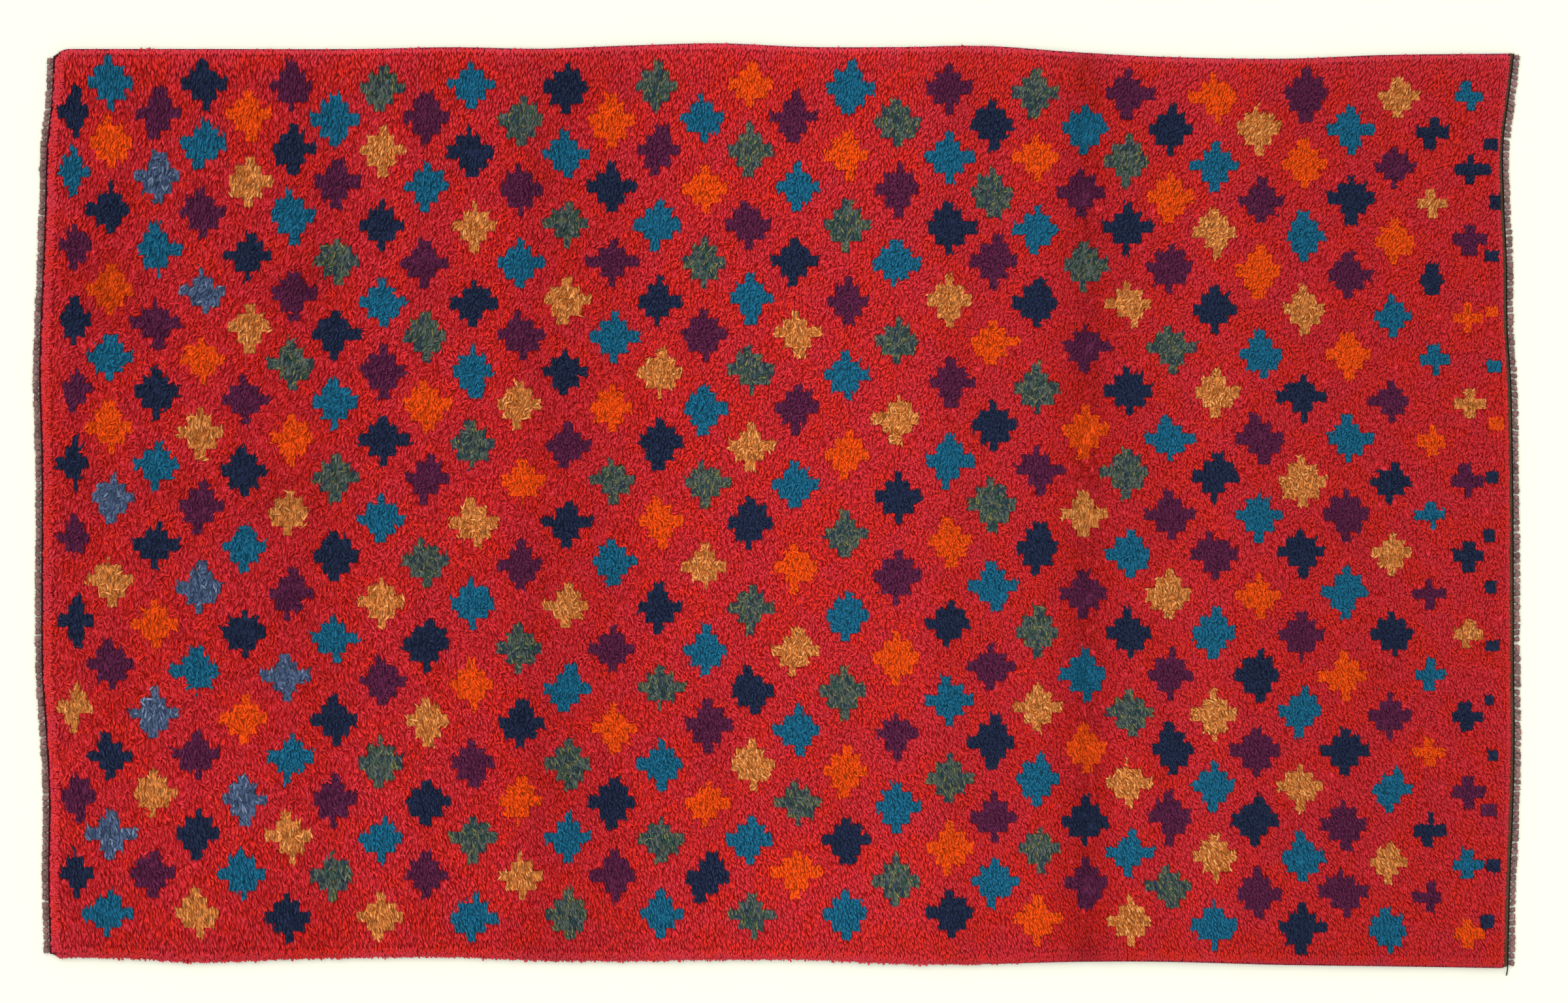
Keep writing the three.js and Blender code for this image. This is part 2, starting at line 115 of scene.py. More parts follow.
# The bed of knots under the tufts, and the beds of the motifs on it
BED_DEPTH = 2.8  # under the tips
BED_EDGE_HEIGHT = 3.4
BED_EDGE_INSET = 2  # out from where the roots end
BED_CALM = 0.2  # how much nearer it comes to the tips where the pile is calm
BED_STEP = 13
BED_CLOSE_STEPS = (0, 2, 5, 9, 14, 21)
BED_EVEN_FROM = 28
MOTIF_BED = Sizes(share=0.93, rise=0.9, sink=1.5)
DOT_RISE = 1.8

# A tuft of cut yarn, and the shares by which the sizes of the tufts differ
TUFT = Sizes(length=14, shortest=3, width=2.9, rise=3.1, thick=1.05, droop=0.9)
TUFT_BEND = (0.58, 0.88)  # where its crest is, from its root to its tip
LENGTHS = (0.75, 1.25)
WIDTHS = (0.8, 1.2)
RISES = (0.85, 1.15)
DROOPS = (0.2, 1.2)
ROOT_LOWEST = 3.2
# How closely the tufts stand along and across their lay, and how far they stray, in shares of that
TUFT_ALONG = 7.0
TUFT_ACROSS = 2.75
STRAY_ALONG = 0.36
STRAY_ACROSS = 0.3
UNEVEN = 0.3  # in the height of the tips
LAY_PATCH = 60  # the tufts stand in rows within a patch of this size
PATCH_REACH = 0.75  # of a patch: its rows are laid out so far from its middle, and then cut to it
FIELD_MARGIN = 20
# Towards the left end the tufts have clumped: they are wider, longer, less even and more of them are sunk
COARSE = Sizes(start=-250, stop=-700, more=0.14, longer=0.22, uneven=0.35, sunk=0.9)
# Towards the right end the pile is even, with less relief and less painted shade at the roots: roots and
# tips come nearer to one shade
CALM = Sizes(start=-430, stop=350, less=0.72, even=0.14, level=0.7, shade=0.72)

# Longer locks over the rim, in rows that lie further and further in
RIM_LOCK_PITCH = 2.1
RIM_LEVELS = (0, 1.4, 2.8, 5.2, 8.2)
THIN_RIMS = ("far", "right")  # these have only the first rows
THIN_LEVELS = 3
RIM_LOCK = Sizes(length=8, longer=0.4, stray=0.5, slant=1.6, uneven=(-0.6, 0.4))
NEAR_RAGGED = Sizes(until=0.72, over=0.12, stray=1.1, trim=1.8)  # the rest is trim, and lies further in
FAR_RAGGED = 0.9
CORNER_GAP = 0.002  # of a side's length

# The angle of the pile's strokes in degrees, from the far side to the near side, in three places
LAY = table(
    "at left middle right",
    (0.0, 88, 80, 66), (0.1, 84, 80, 62), (0.2, 74, 78, 62), (0.3, 66, 76, 70),
    (0.4, 74, 78, 80), (0.5, 84, 90, 96), (0.6, 90, 98, 102), (0.7, 98, 106, 108),
    (0.8, 100, 107, 115), (0.9, 103, 104, 115), (1.0, 100, 103, 112),
)
LAY_PLACES = {"left": -800, "middle": -100, "right": 750}
LAY_JITTER = Sizes(side=10, middle=42)
LAY_STEP = 10  # the bed's strokes turn in steps of so many degrees
FAR_PARTING = (14, 44)  # within it, from the far side, tips point outwards, elsewhere to the near side

# Light and dark stretches along the rug: the dye's own, and painted shade in the creases near x = -300 and x
# = 397
DYE_AND_CREASE_SHADE = table(
    "x tone",
    (-950, 1.0), (-820, 0.99), (-686, 1.0), (-590, 0.98), (-530, 1.05), (-495, 1.08), (-455, 1.0),
    (-410, 1.05), (-345, 1.08), (-310, 0.96), (-262, 1.0), (-205, 1.01), (-155, 1.1), (185, 1.1),
    (221, 0.97), (260, 1.01), (330, 1.05), (372, 0.91), (396, 0.73), (418, 0.93), (446, 1.0),
    (490, 0.96), (545, 1.02), (620, 0.94), (950, 0.92),
)
# How much of the painted shade among the tufts shows, apart from the far side, where painted sheen shows
# instead
PAINTED_DEPTH_SHADE = table(
    "x rich",
    (-950, 0.15), (-860, 0.15), (-760, 0.0), (-590, 0.25), (-510, -0.1), (-400, -0.05), (-315, 0.15),
    (-200, 0.0), (220, 0.0), (320, 0.2), (400, 0.55), (450, 0.25), (540, 0.0), (650, 0.12), (950, 0.05),
)
FAR_PAINTED_SHEEN = 0.22
# Painted shade where the pile is parted, standing in for its shaded depth, and painted light where shade is
# negative, where it is pressed
PAINTED_SHADE_AND_LIGHT = [  # x, y, reach along, reach across, shade
    (-720, -400, 260, 150, -0.12), (100, -490, 650, 80, -0.06), (-50, 570, 900, 80, 0.06),
    (-79, -350, 28, 110, 0.11), (84, -350, 28, 110, 0.12), (446, -350, 22, 110, -0.14),
    (-855, 268, 42, 48, 0.32), (-592, 287, 26, 40, 0.26), (-805, 400, 60, 22, 0.14),
    (-880, 30, 26, 34, 0.2), (-785, 18, 34, 22, 0.2), (-629, 6, 52, 30, 0.24),
    (-442, 275, 26, 26, 0.1), (727, -38, 40, 26, 0.12), (765, -218, 32, 14, 0.12),
    (483, -45, 32, 30, 0.08), (-294, 415, 16, 22, 0.14), (-288, -356, 26, 20, 0.14),
    (390, -220, 24, 44, 0.14), (390, 65, 16, 50, 0.1), (440, 260, 20, 100, 0.07),
]
RIM_SHEEN_REACH = {"near": 5, "right": 4, "far": 4, "left": 20}  # how far the rim's painted pink sheen reaches inwards
# How far the painted light at the rim reaches inwards, and how much lighter it makes the pile, darker where
# below 0
RIM_PAINTED_LIGHT = {"near": (8, -0.16), "right": (12, -0.03), "far": (12, 0.0), "left": (22, -0.08)}

# The lattice of stepped crosses: columns along the rug, with a motif at every second step across it
COLUMNS = [
    -896, -851, -793, -736, -679, -621, -564, -505, -448, -388, -328,
    -269, -210, -150, -92, -34, 24, 88, 153, 219, 275, 332, 392, 448,
    500, 558, 614, 671, 727, 784, 834, 882,
]
STEPS = 23
STEP = 48.25
FIRST_STEP_Y = 537.9
MOTIF_STRAY = Sizes(x=1.2, y=1.8, nearer=1.6)

# How far the weaver's rows lie from an even lattice towards the far side, at five places along the rug
ROW_DRIFT = table(
    "step left west middle east right",
    (0, 0, -5, 1, -15, -16),
    (3, 34, 12, 12, 4, -10),
    (6, 34, 11, 15, 8, -9),
    (9, 41, 23, 20, -13, -26),
    (12, 50, 24, 16, -20, -22),
    (15, 38, 9, 1, -29, -30),
    (18, 13, 4, -3, -24, -34),
    (22, 6, 1, 4, -4, -23),
)
DRIFT_PLACES = {"left": -870, "west": -500, "middle": 0, "east": 400, "right": 880}
# How far the far end of a column leans along the rug
COLUMN_LEAN = table(
    "x lean",
    (-900, -2), (-800, 3), (-680, 5), (-500, 1), (-90, -3), (90, 1), (330, -2), (560, 1), (730, 5),
    (890, 0),
)
# The last column, of small dots, keeps a step of its own
DOTS = Sizes(x=912, first_y=459, step=70.8, count=15, stray_x=2, stray_y=1.5)
DOT_DYES = {"navy": 7, "teal": 4, "orange": 2, "gold": 1, "purple": 1}

# Rows of a motif from its far side: how high and how wide each is
CROSS = [(11.5, 11.5), (12.5, 34.5), (15, 60), (13.5, 36.5), (13, 12)]
SMALL_CROSS = [(13, 14), (14, 40), (13, 14)]
DOT = [(15, 19)]
CUT_WIDTH = 0.7  # of the crosses at the left end
LAST_CROSS = 0.88  # size of those in the last column of them
MOTIF_REACH = 46
RAGGED = 2.2  # how far the end of a row may stray
ROW_HEIGHTS = (0.82, 1.18)
SKEW = 4

# The yarns: their dye from 0 to 255, a tuft's width, how much tufts differ and how many are sunk
YARNS = {
    "red": ((207, 50, 60), 1.0, 0.06, 0.1),
    "navy": ((34, 44, 70), 1.05, 0.2, 0.1),
    "teal": ((28, 100, 131), 1.05, 0.16, 0.14),
    "purple": ((89, 34, 66), 1.05, 0.16, 0.1),
    "orange": ((238, 78, 16), 1.0, 0.12, 0.16),
    "gold": ((212, 128, 62), 0.95, 0.2, 0.26),
    "olive": ((84, 95, 87), 0.95, 0.26, 0.2),
    "slate": ((78, 96, 127), 1.1, 0.26, 0.26),
}
# A red dye batch, with the painted shade at the roots and the painted pink sheen of the rim
RED_BATCH_AND_PAINTED_LIGHT = {"other": (217, 48, 39), "painted_shade": (173, 18, 14), "painted_sheen": (216, 66, 82)}
YARN_NAMES = list(YARNS)
# Other dyes in a yarn: each takes the tufts whose chance is below its share, and the last one wins
HEATHER = {
    "olive": ((0.6, (42, 58, 74)), (0.34, (108, 108, 68)), (0.14, (46, 78, 66))),
    "slate": ((0.45, (62, 76, 106)), (0.25, (108, 124, 150))),
    "gold": ((0.42, (178, 96, 40)), (0.2, (230, 154, 86))),
}
TUFT_PAINTED_SHADE = 0.86  # of a yarn's colour: painted shade among the tufts, towards their roots
# of a yarn's colour: painted shade on the bed, in the dark lines between its strokes
BED_PAINTED_SHADE = 0.7
SUNK = Sizes(depth=0.9, shade=0.22, chance=0.8)  # of the tufts that lie lower than the others, and the painted shade on them
VARY = Sizes(share=0.6, limit=2)  # spread of the tufts' tones, over how much their yarn differs
PROUD = 0.3  # height of the coloured motifs over the red
RED_BANDS = 5

# How often each dye is taken on the four sets of diagonals, in the left, middle and right stretch
DIAGONALS = {
    1: [
        {"navy": 10, "teal": 9, "purple": 6, "gold": 2, "orange": 2, "slate": 0.6},
        {"purple": 11, "navy": 8, "teal": 8, "orange": 3, "gold": 1},
        {"navy": 14, "teal": 10, "purple": 4},
    ],
    3: [
        {"teal": 9, "purple": 8, "navy": 6, "orange": 4, "gold": 2, "slate": 0.6},
        {"teal": 13, "orange": 5, "olive": 5, "purple": 4, "navy": 3},
        {"gold": 4, "orange": 5, "purple": 14, "teal": 3, "navy": 3},
    ],
    5: [
        {"purple": 8, "navy": 7, "orange": 3, "olive": 6, "teal": 3, "slate": 0.8},
        {"olive": 13, "teal": 9, "orange": 3, "navy": 3},
        {"teal": 9, "purple": 10, "navy": 5, "gold": 2, "olive": 4},
    ],
    7: [
        {"olive": 13, "purple": 7, "navy": 2, "gold": 1, "slate": 2},
        {"olive": 11, "navy": 8, "gold": 4, "purple": 5},
        {"purple": 17, "olive": 5, "navy": 4, "gold": 2},
    ],
}
STRETCH_ENDS = (11, 22)  # columns where the left and the middle stretch end
SLATE_COLUMNS = 7  # only so many columns from the left end have slate
OLIVE_COLUMNS = (5, 25)  # and only those between these have olive
SAME_AS_DIAGONAL = 0.35  # how often a motif takes the dye of one before it on its diagonal

random = np.random.default_rng(20)


def mix(a, b, t):
    return a + (b - a) * t


def smooth(t):
    t = np.clip(t, 0, 1)
    return t * t * (3 - 2 * t)


def stacked(*values):
    """Arrays side by side, such as the x, y and z of points."""
    return np.stack(values, axis=-1)


def read_table(columns, at, name):
    """A smooth curve through one column of a table, over its first column."""
    places = next(iter(columns.values()))
    values = columns[name]
    wide, high = np.pad([places, values], ((0, 0), (1, 1)), mode="edge")
    slopes = (high[2:] - high[:-2]) / (wide[2:] - wide[:-2])
    i = np.clip(np.searchsorted(places, at) - 1, 0, len(places) - 2)
    span = places[i + 1] - places[i]
    t = np.clip((at - places[i]) / span, 0, 1)
    start = values[i] * (1 + 2 * t) * (1 - t) ** 2 + slopes[i] * span * t * (1 - t) ** 2
    end = values[i + 1] * (3 - 2 * t) * t**2 - slopes[i + 1] * span * t**2 * (1 - t)
    return start + end


def end_line(end, across):
    """Where an end's warp tips lie, at a share of the width from the near side."""
    return END_SIGN[end] * (LENGTH / 2 + read_table(END_WANDER, across, end))


def side_line(side, x):
    """Where a long side lies at x, with its worn corners."""
    out = WIDTH / 2 + read_table(SIDE_WANDER, x / LENGTH + 0.5, side)
    for end, (length, drop) in CORNERS[side].items():
        away = np.abs(x - end_line(end, 1 if side == "far" else 0))
        out = out - drop * np.maximum(0, 1 - away / length) ** 2
    return SIDE_SIGN[side] * out


def beside(curve, t, distance):
    """A point beside a curve, at a distance to the left of its direction."""
    step = 0.0005
    ax, ay = curve(t - step)
    bx, by = curve(t + step)
    long = np.hypot(bx - ax, by - ay)
    x, y = curve(t)
    return x - (by - ay) / long * distance, y + (bx - ax) / long * distance


def side_point(side, along, inset, end_inset):
    """A long side between its two ends, moved in from the outline by inset."""
    across = 1 if side == "far" else 0
    start = end_line("left", across) + end_inset
    stop = end_line("right", across) - end_inset

    def curve(t):
        x = mix(start, stop, t)
        return x, side_line(side, x)

    return beside(curve, along, -SIDE_SIGN[side] * inset)


def end_point(end, across, inset, side_inset=STRIP_SIDE_INSET):
    """An end between the two long sides, moved in by inset and met by them at its corners."""
    along = 0 if end == "left" else 1
    near = side_point("near", along, side_inset, inset)
    far = side_point("far", along, side_inset, inset)

    def curve(t):
        return end_line(end, t), mix(near[1], far[1], t)

    x, y = beside(curve, across, END_SIGN[end] * inset)
    near_miss = near[0] - beside(curve, 0, END_SIGN[end] * inset)[0]
    far_miss = far[0] - beside(curve, 1, END_SIGN[end] * inset)[0]
    return x + mix(near_miss, far_miss, across), y


def pile_height(x, y):
    """The pile's surface above the floor, away from its rim."""
    height = np.full(np.shape(x), float(PILE_TOP))
    for middle, lean, depth, width in CREASES:
        away = (x - middle - lean * y) / width
        height -= depth * np.exp(-away * away)
    for middle_x, middle_y, size, rise in SWELLS:
        height += rise * np.exp(-((x - middle_x) ** 2 + (y - middle_y) ** 2) / size**2)
    for along, across, high, shift in LUMPS:
        height += high * np.sin(2 * np.pi * (x / along + y / across) + shift)
    return height


def insets(x, y):
    """How far points lie inside each of the four sides, in the order of SIDES."""
    across = np.clip(y / WIDTH + 0.5, 0, 1)
    right = end_line("right", across) - x
    left = x - end_line("left", across)
    return np.array([y - side_line("near", x), right, side_line("far", x) - y, left])


def rim_share(inset, edge, reach):
    """0 at the rim and 1 inside it, rounded like a quarter of a circle."""
    share = np.ones(inset[0].shape)
    for side, away in zip(SIDES, inset):
        t = np.clip((away - edge[side]) / reach, 0, 1)
        share = np.minimum(share, np.sqrt(1 - (1 - t) ** 2))
    return share


def lay_angle(x, y):
    """The angle of the pile's strokes, in radians."""
    at = np.clip(0.5 - y / WIDTH, 0, 1)
    angles = [read_table(LAY, at, place) for place in LAY_PLACES]
    left, middle, right = LAY_PLACES.values()
    west = smooth((x - left) / (middle - left))
    east = smooth((x - middle) / (right - middle))
    return np.radians(mix(mix(angles[0], angles[1], west), angles[2], east))


def come_to(place, x):
    """How far coarseness or calm has come at x, from 0 to 1."""
    return smooth((x - place.start) / (place.stop - place.start))


def tone_at(x, y, inset):
    """How light or dark the pile is: its dye, painted shade in its creases and parted places, painted light
    in pressed places, and painted light and shade at its rim.
    """
    # the dye, with painted shade in the creases
    tone = read_table(DYE_AND_CREASE_SHADE, x, "tone")
    # painted shade where the pile is parted, painted light where it is pressed
    for middle_x, middle_y, along, across, shade in PAINTED_SHADE_AND_LIGHT:
        away = ((x - middle_x) / along) ** 2 + ((y - middle_y) / across) ** 2
        tone = tone * (1 - shade * np.exp(-away))
    # painted light and shade at the rim
    for side, inside in zip(SIDES, inset):
        reach, more = RIM_PAINTED_LIGHT[side]
        tone = tone * (1 + more * np.exp(-np.maximum(inside - TIP_INSET[side], 0) / reach))
    return tone


def shade_over_sheen(x, y):
    """How much painted shade among the tufts shows, below 0 where painted sheen shows instead."""
    pale = np.maximum(2 * y / WIDTH, 0) ** 4
    return read_table(PAINTED_DEPTH_SHADE, x, "rich") * (1 - pale) - FAR_PAINTED_SHEEN * pale


# Meshes

def along_the_lay(points, corners, starts, sizes):
    """The place of each corner of the faces, measured across and along the lay of the pile there."""
    middle = np.add.reduceat(points[corners], starts) / sizes[:, None]
    lay = np.degrees(lay_angle(middle[:, 0], middle[:, 1]))
    angle = np.radians(np.repeat(np.round(lay / LAY_STEP) * LAY_STEP, sizes))
    x, y, _ = points[corners].T
    across = y * np.cos(angle) - x * np.sin(angle)
    return stacked(across, x * np.cos(angle) + y * np.sin(angle), 0 * x)


def add_object(name, data):
    item = bpy.data.objects.new(name, data)
    bpy.context.scene.collection.objects.link(item)
    return item


def add_vectors(mesh, label, domain, values):
    attribute = mesh.attributes.new(label, "FLOAT_VECTOR", domain)
    attribute.data.foreach_set("vector", values.astype(np.float32).ravel())


def add_piece(
    name, points, corners, sizes, materials, slot, rounded=True, attributes=(), cells=None, laid=False
):
    """A piece from points in millimetres, its faces' corners in one row, and the faces' sizes."""
    mesh = bpy.data.meshes.new(name)
    points = np.asarray(points, float).reshape(-1, 3)
    mesh.vertices.add(len(points))
    mesh.vertices.foreach_set("co", ((points + CENTRE) * MM).ravel())
    corners = np.asarray(corners, np.int32).ravel()
    sizes = np.asarray(sizes, np.int32)
    starts = np.concatenate([[0], np.cumsum(sizes)[:-1]])
    mesh.loops.add(len(corners))
    mesh.loops.foreach_set("vertex_index", corners)
    mesh.polygons.add(len(sizes))
    mesh.polygons.foreach_set("loop_start", starts.astype(np.int32))
    mesh.polygons.foreach_set("use_smooth", np.broadcast_to(rounded, len(sizes)).astype(bool))
    for label, values in dict(attributes).items():
        add_vectors(mesh, label, "POINT", values)
    if laid:
        add_vectors(mesh, "strand", "CORNER", along_the_lay(points, corners, starts, sizes))
    if cells is not None:
        layer = mesh.uv_layers.new(name="OFBake")
        layer.data.foreach_set("uv", cells.astype(np.float32).ravel())
    mesh.update(calc_edges=True)
    for material in materials:
        mesh.materials.append(material)
    piece = add_object(name, mesh)
    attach(piece, "root")
    return piece


def tube_faces(count, rings, sides):
    """The corners and sizes of the faces of tubes with closed ends."""
    index = np.arange(count * rings * sides).reshape(count, rings, sides)
    onwards = np.roll(index, -1, axis=2)
    walls = stacked(index[:, :-1], onwards[:, :-1], onwards[:, 1:], index[:, 1:])
    corners = np.concatenate([walls.ravel(), index[:, 0, ::-1].ravel(), index[:, -1].ravel()])
    sizes = [4] * (walls.size // 4) + [sides] * (2 * count)
    return corners, np.array(sizes)


def add_tube(name, lines, material, slot, node=None, turned=False):
    """A piece from the lines of points along a tube, standing in for a node of the part."""
    rings = np.stack(lines[::-1] if turned else lines, axis=1)
    piece = add_piece(name, rings, *tube_faces(1, *rings.shape[:2]), [material], slot)
    if node:
        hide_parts(node)
    return piece


def wall_faces(low, top):
    """Four-sided faces between two rings of points."""
    return stacked(low, np.roll(low, -1), np.roll(top, -1), top)


# Materials

WOOL_FINISH = {
    "Roughness": 0.92, "Specular IOR Level": 0.05, "Sheen Weight": 0.08, "Sheen Roughness": 0.6,
}
FIBRE_LUMPS = (2.4, 0.13)  # to a millimetre across the yarn and along it
STROKE_LUMPS = (0.42, 0.1)
BATCH_LUMPS = 24  # to a metre
PATCH_LUMPS = 60
NOISE_RANGE = (0.3, 0.7)  # of nearly all the noise


def linear(colour):
    """A colour from 0 to 255 as light values from 0 to 1."""
    share = np.asarray(colour, float) / 255
    return tuple(np.where(share <= 0.04045, share / 12.92, ((share + 0.055) / 1.055) ** 2.4)) + (1.0,)


def new_material(name, finish):
    """A material with plain values on its shader's sockets, and that shader."""
    material = bpy.data.materials.new(name)
    material.use_nodes = True
    shader = material.node_tree.nodes["Principled BSDF"]
    for socket, value in finish.items():
        shader.inputs[socket].default_value = value
    return material, shader


class Wool:
    """A matt wool material, put together from nodes."""

    def __init__(self, name, base):
        finish = {**WOOL_FINISH, "Sheen Tint": linear(base)}
        self.material, self.shader = new_material(name, finish)
        self.nodes = self.material.node_tree.nodes
        self.links = self.material.node_tree.links

    def node(self, kind, sockets, **settings):
        """A new node, its sockets fed with plain values or with other nodes' outputs."""
        node = self.nodes.new("ShaderNode" + kind)
        for key, value in settings.items():
            setattr(node, key, value)
        for key, value in sockets.items():
            if isinstance(value, bpy.types.NodeSocket):
                self.links.new(value, node.inputs[key])
            else:
                node.inputs[key].default_value = value
        return node

    def feed(self, socket, output):
        self.links.new(output, self.shader.inputs[socket])

    def attribute(self, name, output="Vector"):
        return self.node("Attribute", {}, attribute_name=name).outputs[output]

    def times(self, a, b):
        return self.node("Math", {0: a, 1: b}, operation="MULTIPLY").outputs[0]

    def below(self, value, limit):
        return self.node("Math", {0: value, 1: limit}, operation="LESS_THAN").outputs[0]

    def ramp(self, value, low, high, start=0.0, stop=1.0):
        """A number that goes from low to high while value goes from start to stop."""
        sockets = {"Value": value, "From Min": start, "From Max": stop, "To Min": low, "To Max": high}
        return self.node("MapRange", sockets).outputs[0]

    def uneven(self, noise, depth):
        """A factor about 1 that the noise changes by depth each way."""
        return self.ramp(noise, 1 - depth, 1 + depth, *NOISE_RANGE)

    def scaled(self, colour, amount):
        return self.node("VectorMath", {0: colour, "Scale": amount}, operation="SCALE").outputs[0]

    def blend(self, a, b, share):
        return self.node("Mix", {0: share, 6: a, 7: b}, data_type="RGBA").outputs[2]

    def lumps(self, place, scale, stretch, detail):
        mapping = self.node("Mapping", {"Vector": place, "Scale": stretch})
        sockets = {"Vector": mapping.outputs[0], "Scale": scale, "Detail": detail}
        return self.node("TexNoise", sockets).outputs["Fac"]

    def noise(self, scale, detail=2.0, stretch=(1, 1, 1)):
        """Noise in the object's own space, about scale lumps to a metre."""
        place = self.node("TexCoord", {}).outputs["Object"]
        return self.lumps(place, scale, stretch, detail)

    def strands(self, lumps, detail):
        """Noise drawn out along the yarn, in lumps to a millimetre across and along it."""
        return self.lumps(self.attribute("strand"), 1.0, (*lumps, 1), detail)

    def bump(self, height, distance, strength=0.6):
        sockets = {"Height": height, "Strength": strength, "Distance": distance * MM}
        self.feed("Normal", self.node("Bump", sockets).outputs[0])


def tuft_wool(name, base, other, painted_shade, painted_sheen, heather):
    """Cut pile yarn, its roots in painted shade. Its tufts hold their tone, their chance, above 1 where
    painted sheen shows, and root to tip.
    """
    wool = Wool(name, base)
    parts = wool.node("SeparateXYZ", {"Vector": wool.attribute("tuft")})
    tone, chance, along = parts.outputs
    fibres = wool.strands(FIBRE_LUMPS, 3.0)
    batch = wool.blend(linear(base), linear(other), wool.ramp(wool.noise(BATCH_LUMPS), 0, 1, 0.4, 0.6))
    # painted pink sheen where chance is above 0.9
    batch = wool.blend(batch, linear(painted_sheen), wool.ramp(chance, 0, 1, 0.9, 1.9))
    # painted shade at the roots, going over to the lit colour towards the tips, and less of it where chance
    # is high
    lit = wool.times(wool.ramp(along, 0.1, 1, 0.1, 0.9), wool.ramp(chance, 0.6, 1.25))
    colour = wool.blend(linear(painted_shade), batch, lit)
    for share, spun_in in heather:
        colour = wool.blend(colour, linear(spun_in), wool.below(chance, share))
    wool.feed("Base Color", wool.scaled(colour, wool.times(tone, wool.uneven(fibres, 0.3))))
    wool.feed("Roughness", wool.ramp(fibres, 0.84, 0.98))
    wool.bump(fibres, 0.5, 0.8)
    return wool.material


def bed_wool(name, base, painted_shade):
    """The lower pile on the knots' bed, seen between the tufts, with painted shade in the dark lines between
    its strokes.
    """
    wool = Wool(name, base)
    strokes = wool.strands(STROKE_LUMPS, 1.0)
    fibres = wool.strands(FIBRE_LUMPS, 2.0)
    colour = wool.blend(linear(painted_shade), linear(base), wool.ramp(strokes, 0, 1, 0.38, 0.62))
    shade = wool.times(wool.ramp(strokes, 0.65, 1.05, 0.34, 0.6), wool.uneven(fibres, 0.2))
    wool.feed("Base Color", wool.scaled(colour, shade))
    wool.bump(strokes, 3.0, 1.0)
    return wool.material


def wrapped_wool(name, base, scale, stretch, shaded=False):
    """Plied or wrapped yarn with streaks along its turns, and its points' own shade if shaded."""
    wool = Wool(name, base)
    streaks = wool.noise(scale, 3.0, stretch)
    shade = wool.times(wool.uneven(streaks, 0.45), wool.uneven(wool.noise(PATCH_LUMPS), 0.15))
    if shaded:
        shade = wool.times(shade, wool.attribute("shade", "Fac"))
    wool.feed("Base Color", wool.scaled(linear(base)[:3], shade))
    wool.feed("Roughness", wool.ramp(streaks, 0.98, 0.84))
    wool.bump(streaks, 0.6)
    return wool.material


pile_wool = {}
bed_wools = []
for name, (dyed, *_) in YARNS.items():
    batch_and_painted_light = {"other": dyed, "painted_shade": [TUFT_PAINTED_SHADE * share for share in dyed], "painted_sheen": dyed}
    painted_shade = [BED_PAINTED_SHADE * share for share in dyed]
    if name == "red":
        batch_and_painted_light = RED_BATCH_AND_PAINTED_LIGHT
        painted_shade = RED_BATCH_AND_PAINTED_LIGHT["painted_shade"]
    pile_wool[name] = tuft_wool(f"pile_{name}", dyed, heather=HEATHER.get(name, ()), **batch_and_painted_light)
    bed_wools.append(bed_wool(f"bed_{name}", dyed, painted_shade))


# The weaver's pattern

def lattice_place(column, step):
    """The middle of a motif, where the rows and columns have wandered to."""
    x = COLUMNS[column]
    drifts = [float(read_table(ROW_DRIFT, step, place)) for place in DRIFT_PLACES]
    y = FIRST_STEP_Y - STEP * step + float(np.interp(x, list(DRIFT_PLACES.values()), drifts))
    lean = float(read_table(COLUMN_LEAN, x, "lean"))
    return x + 2 * lean * y / WIDTH, y


def draw_dye(weights):
    """A dye by chance, each as often as its weight says."""
    shares = np.cumsum(list(weights.values())) / sum(weights.values())
    return list(weights)[int(np.searchsorted(shares, random.random()))]


def choose_dyes():
    """Goes through the lattice column by column and takes a dye for each motif."""
    dyes = {}
    for column in range(len(COLUMNS)):
        stretch = sum(column >= end for end in STRETCH_ENDS)
        for step in range((column + 1) % 2, STEPS, 2):
            weights = dict(DIAGONALS[(3 * column + step) % 8][stretch])
            if column >= SLATE_COLUMNS:
                weights.pop("slate", None)
            if not OLIVE_COLUMNS[0] <= column < OLIVE_COLUMNS[1]:
                weights.pop("olive", None)
            around = [(-1, -1), (-1, 1), (-2, 0), (0, -2)]
            taken = {dyes.get((column + a, step + b)) for a, b in around}
            free = {dye: weight for dye, weight in weights.items() if dye not in taken}
            before = dyes.get((column - 2, step - 2)) or dyes.get((column - 1, step + 3))
            drawn = draw_dye(free or weights)
            again = random.random() < SAME_AS_DIAGONAL and before in free
            dyes[column, step] = before if again else drawn
    return dyes


def motif_rows(rows, scale=1.0):
    """The rows of a motif from its far side: each one's lower and upper y, and its left and right x."""
    heights = [scale * height * random.uniform(*ROW_HEIGHTS) for height, _ in rows]
    skew = random.normal(0, SKEW) / sum(heights)
    high = sum(heights) / 2
    found = []
    for height, (_, width) in zip(heights, rows):
        low = high - height
        lean = skew * (low + high) / 2
        left = lean - scale * width / 2 + random.normal(0, RAGGED)
        right = lean + scale * width / 2 + random.normal(0, RAGGED)
        found.append((low, high, left, right))
        high = low
    return found


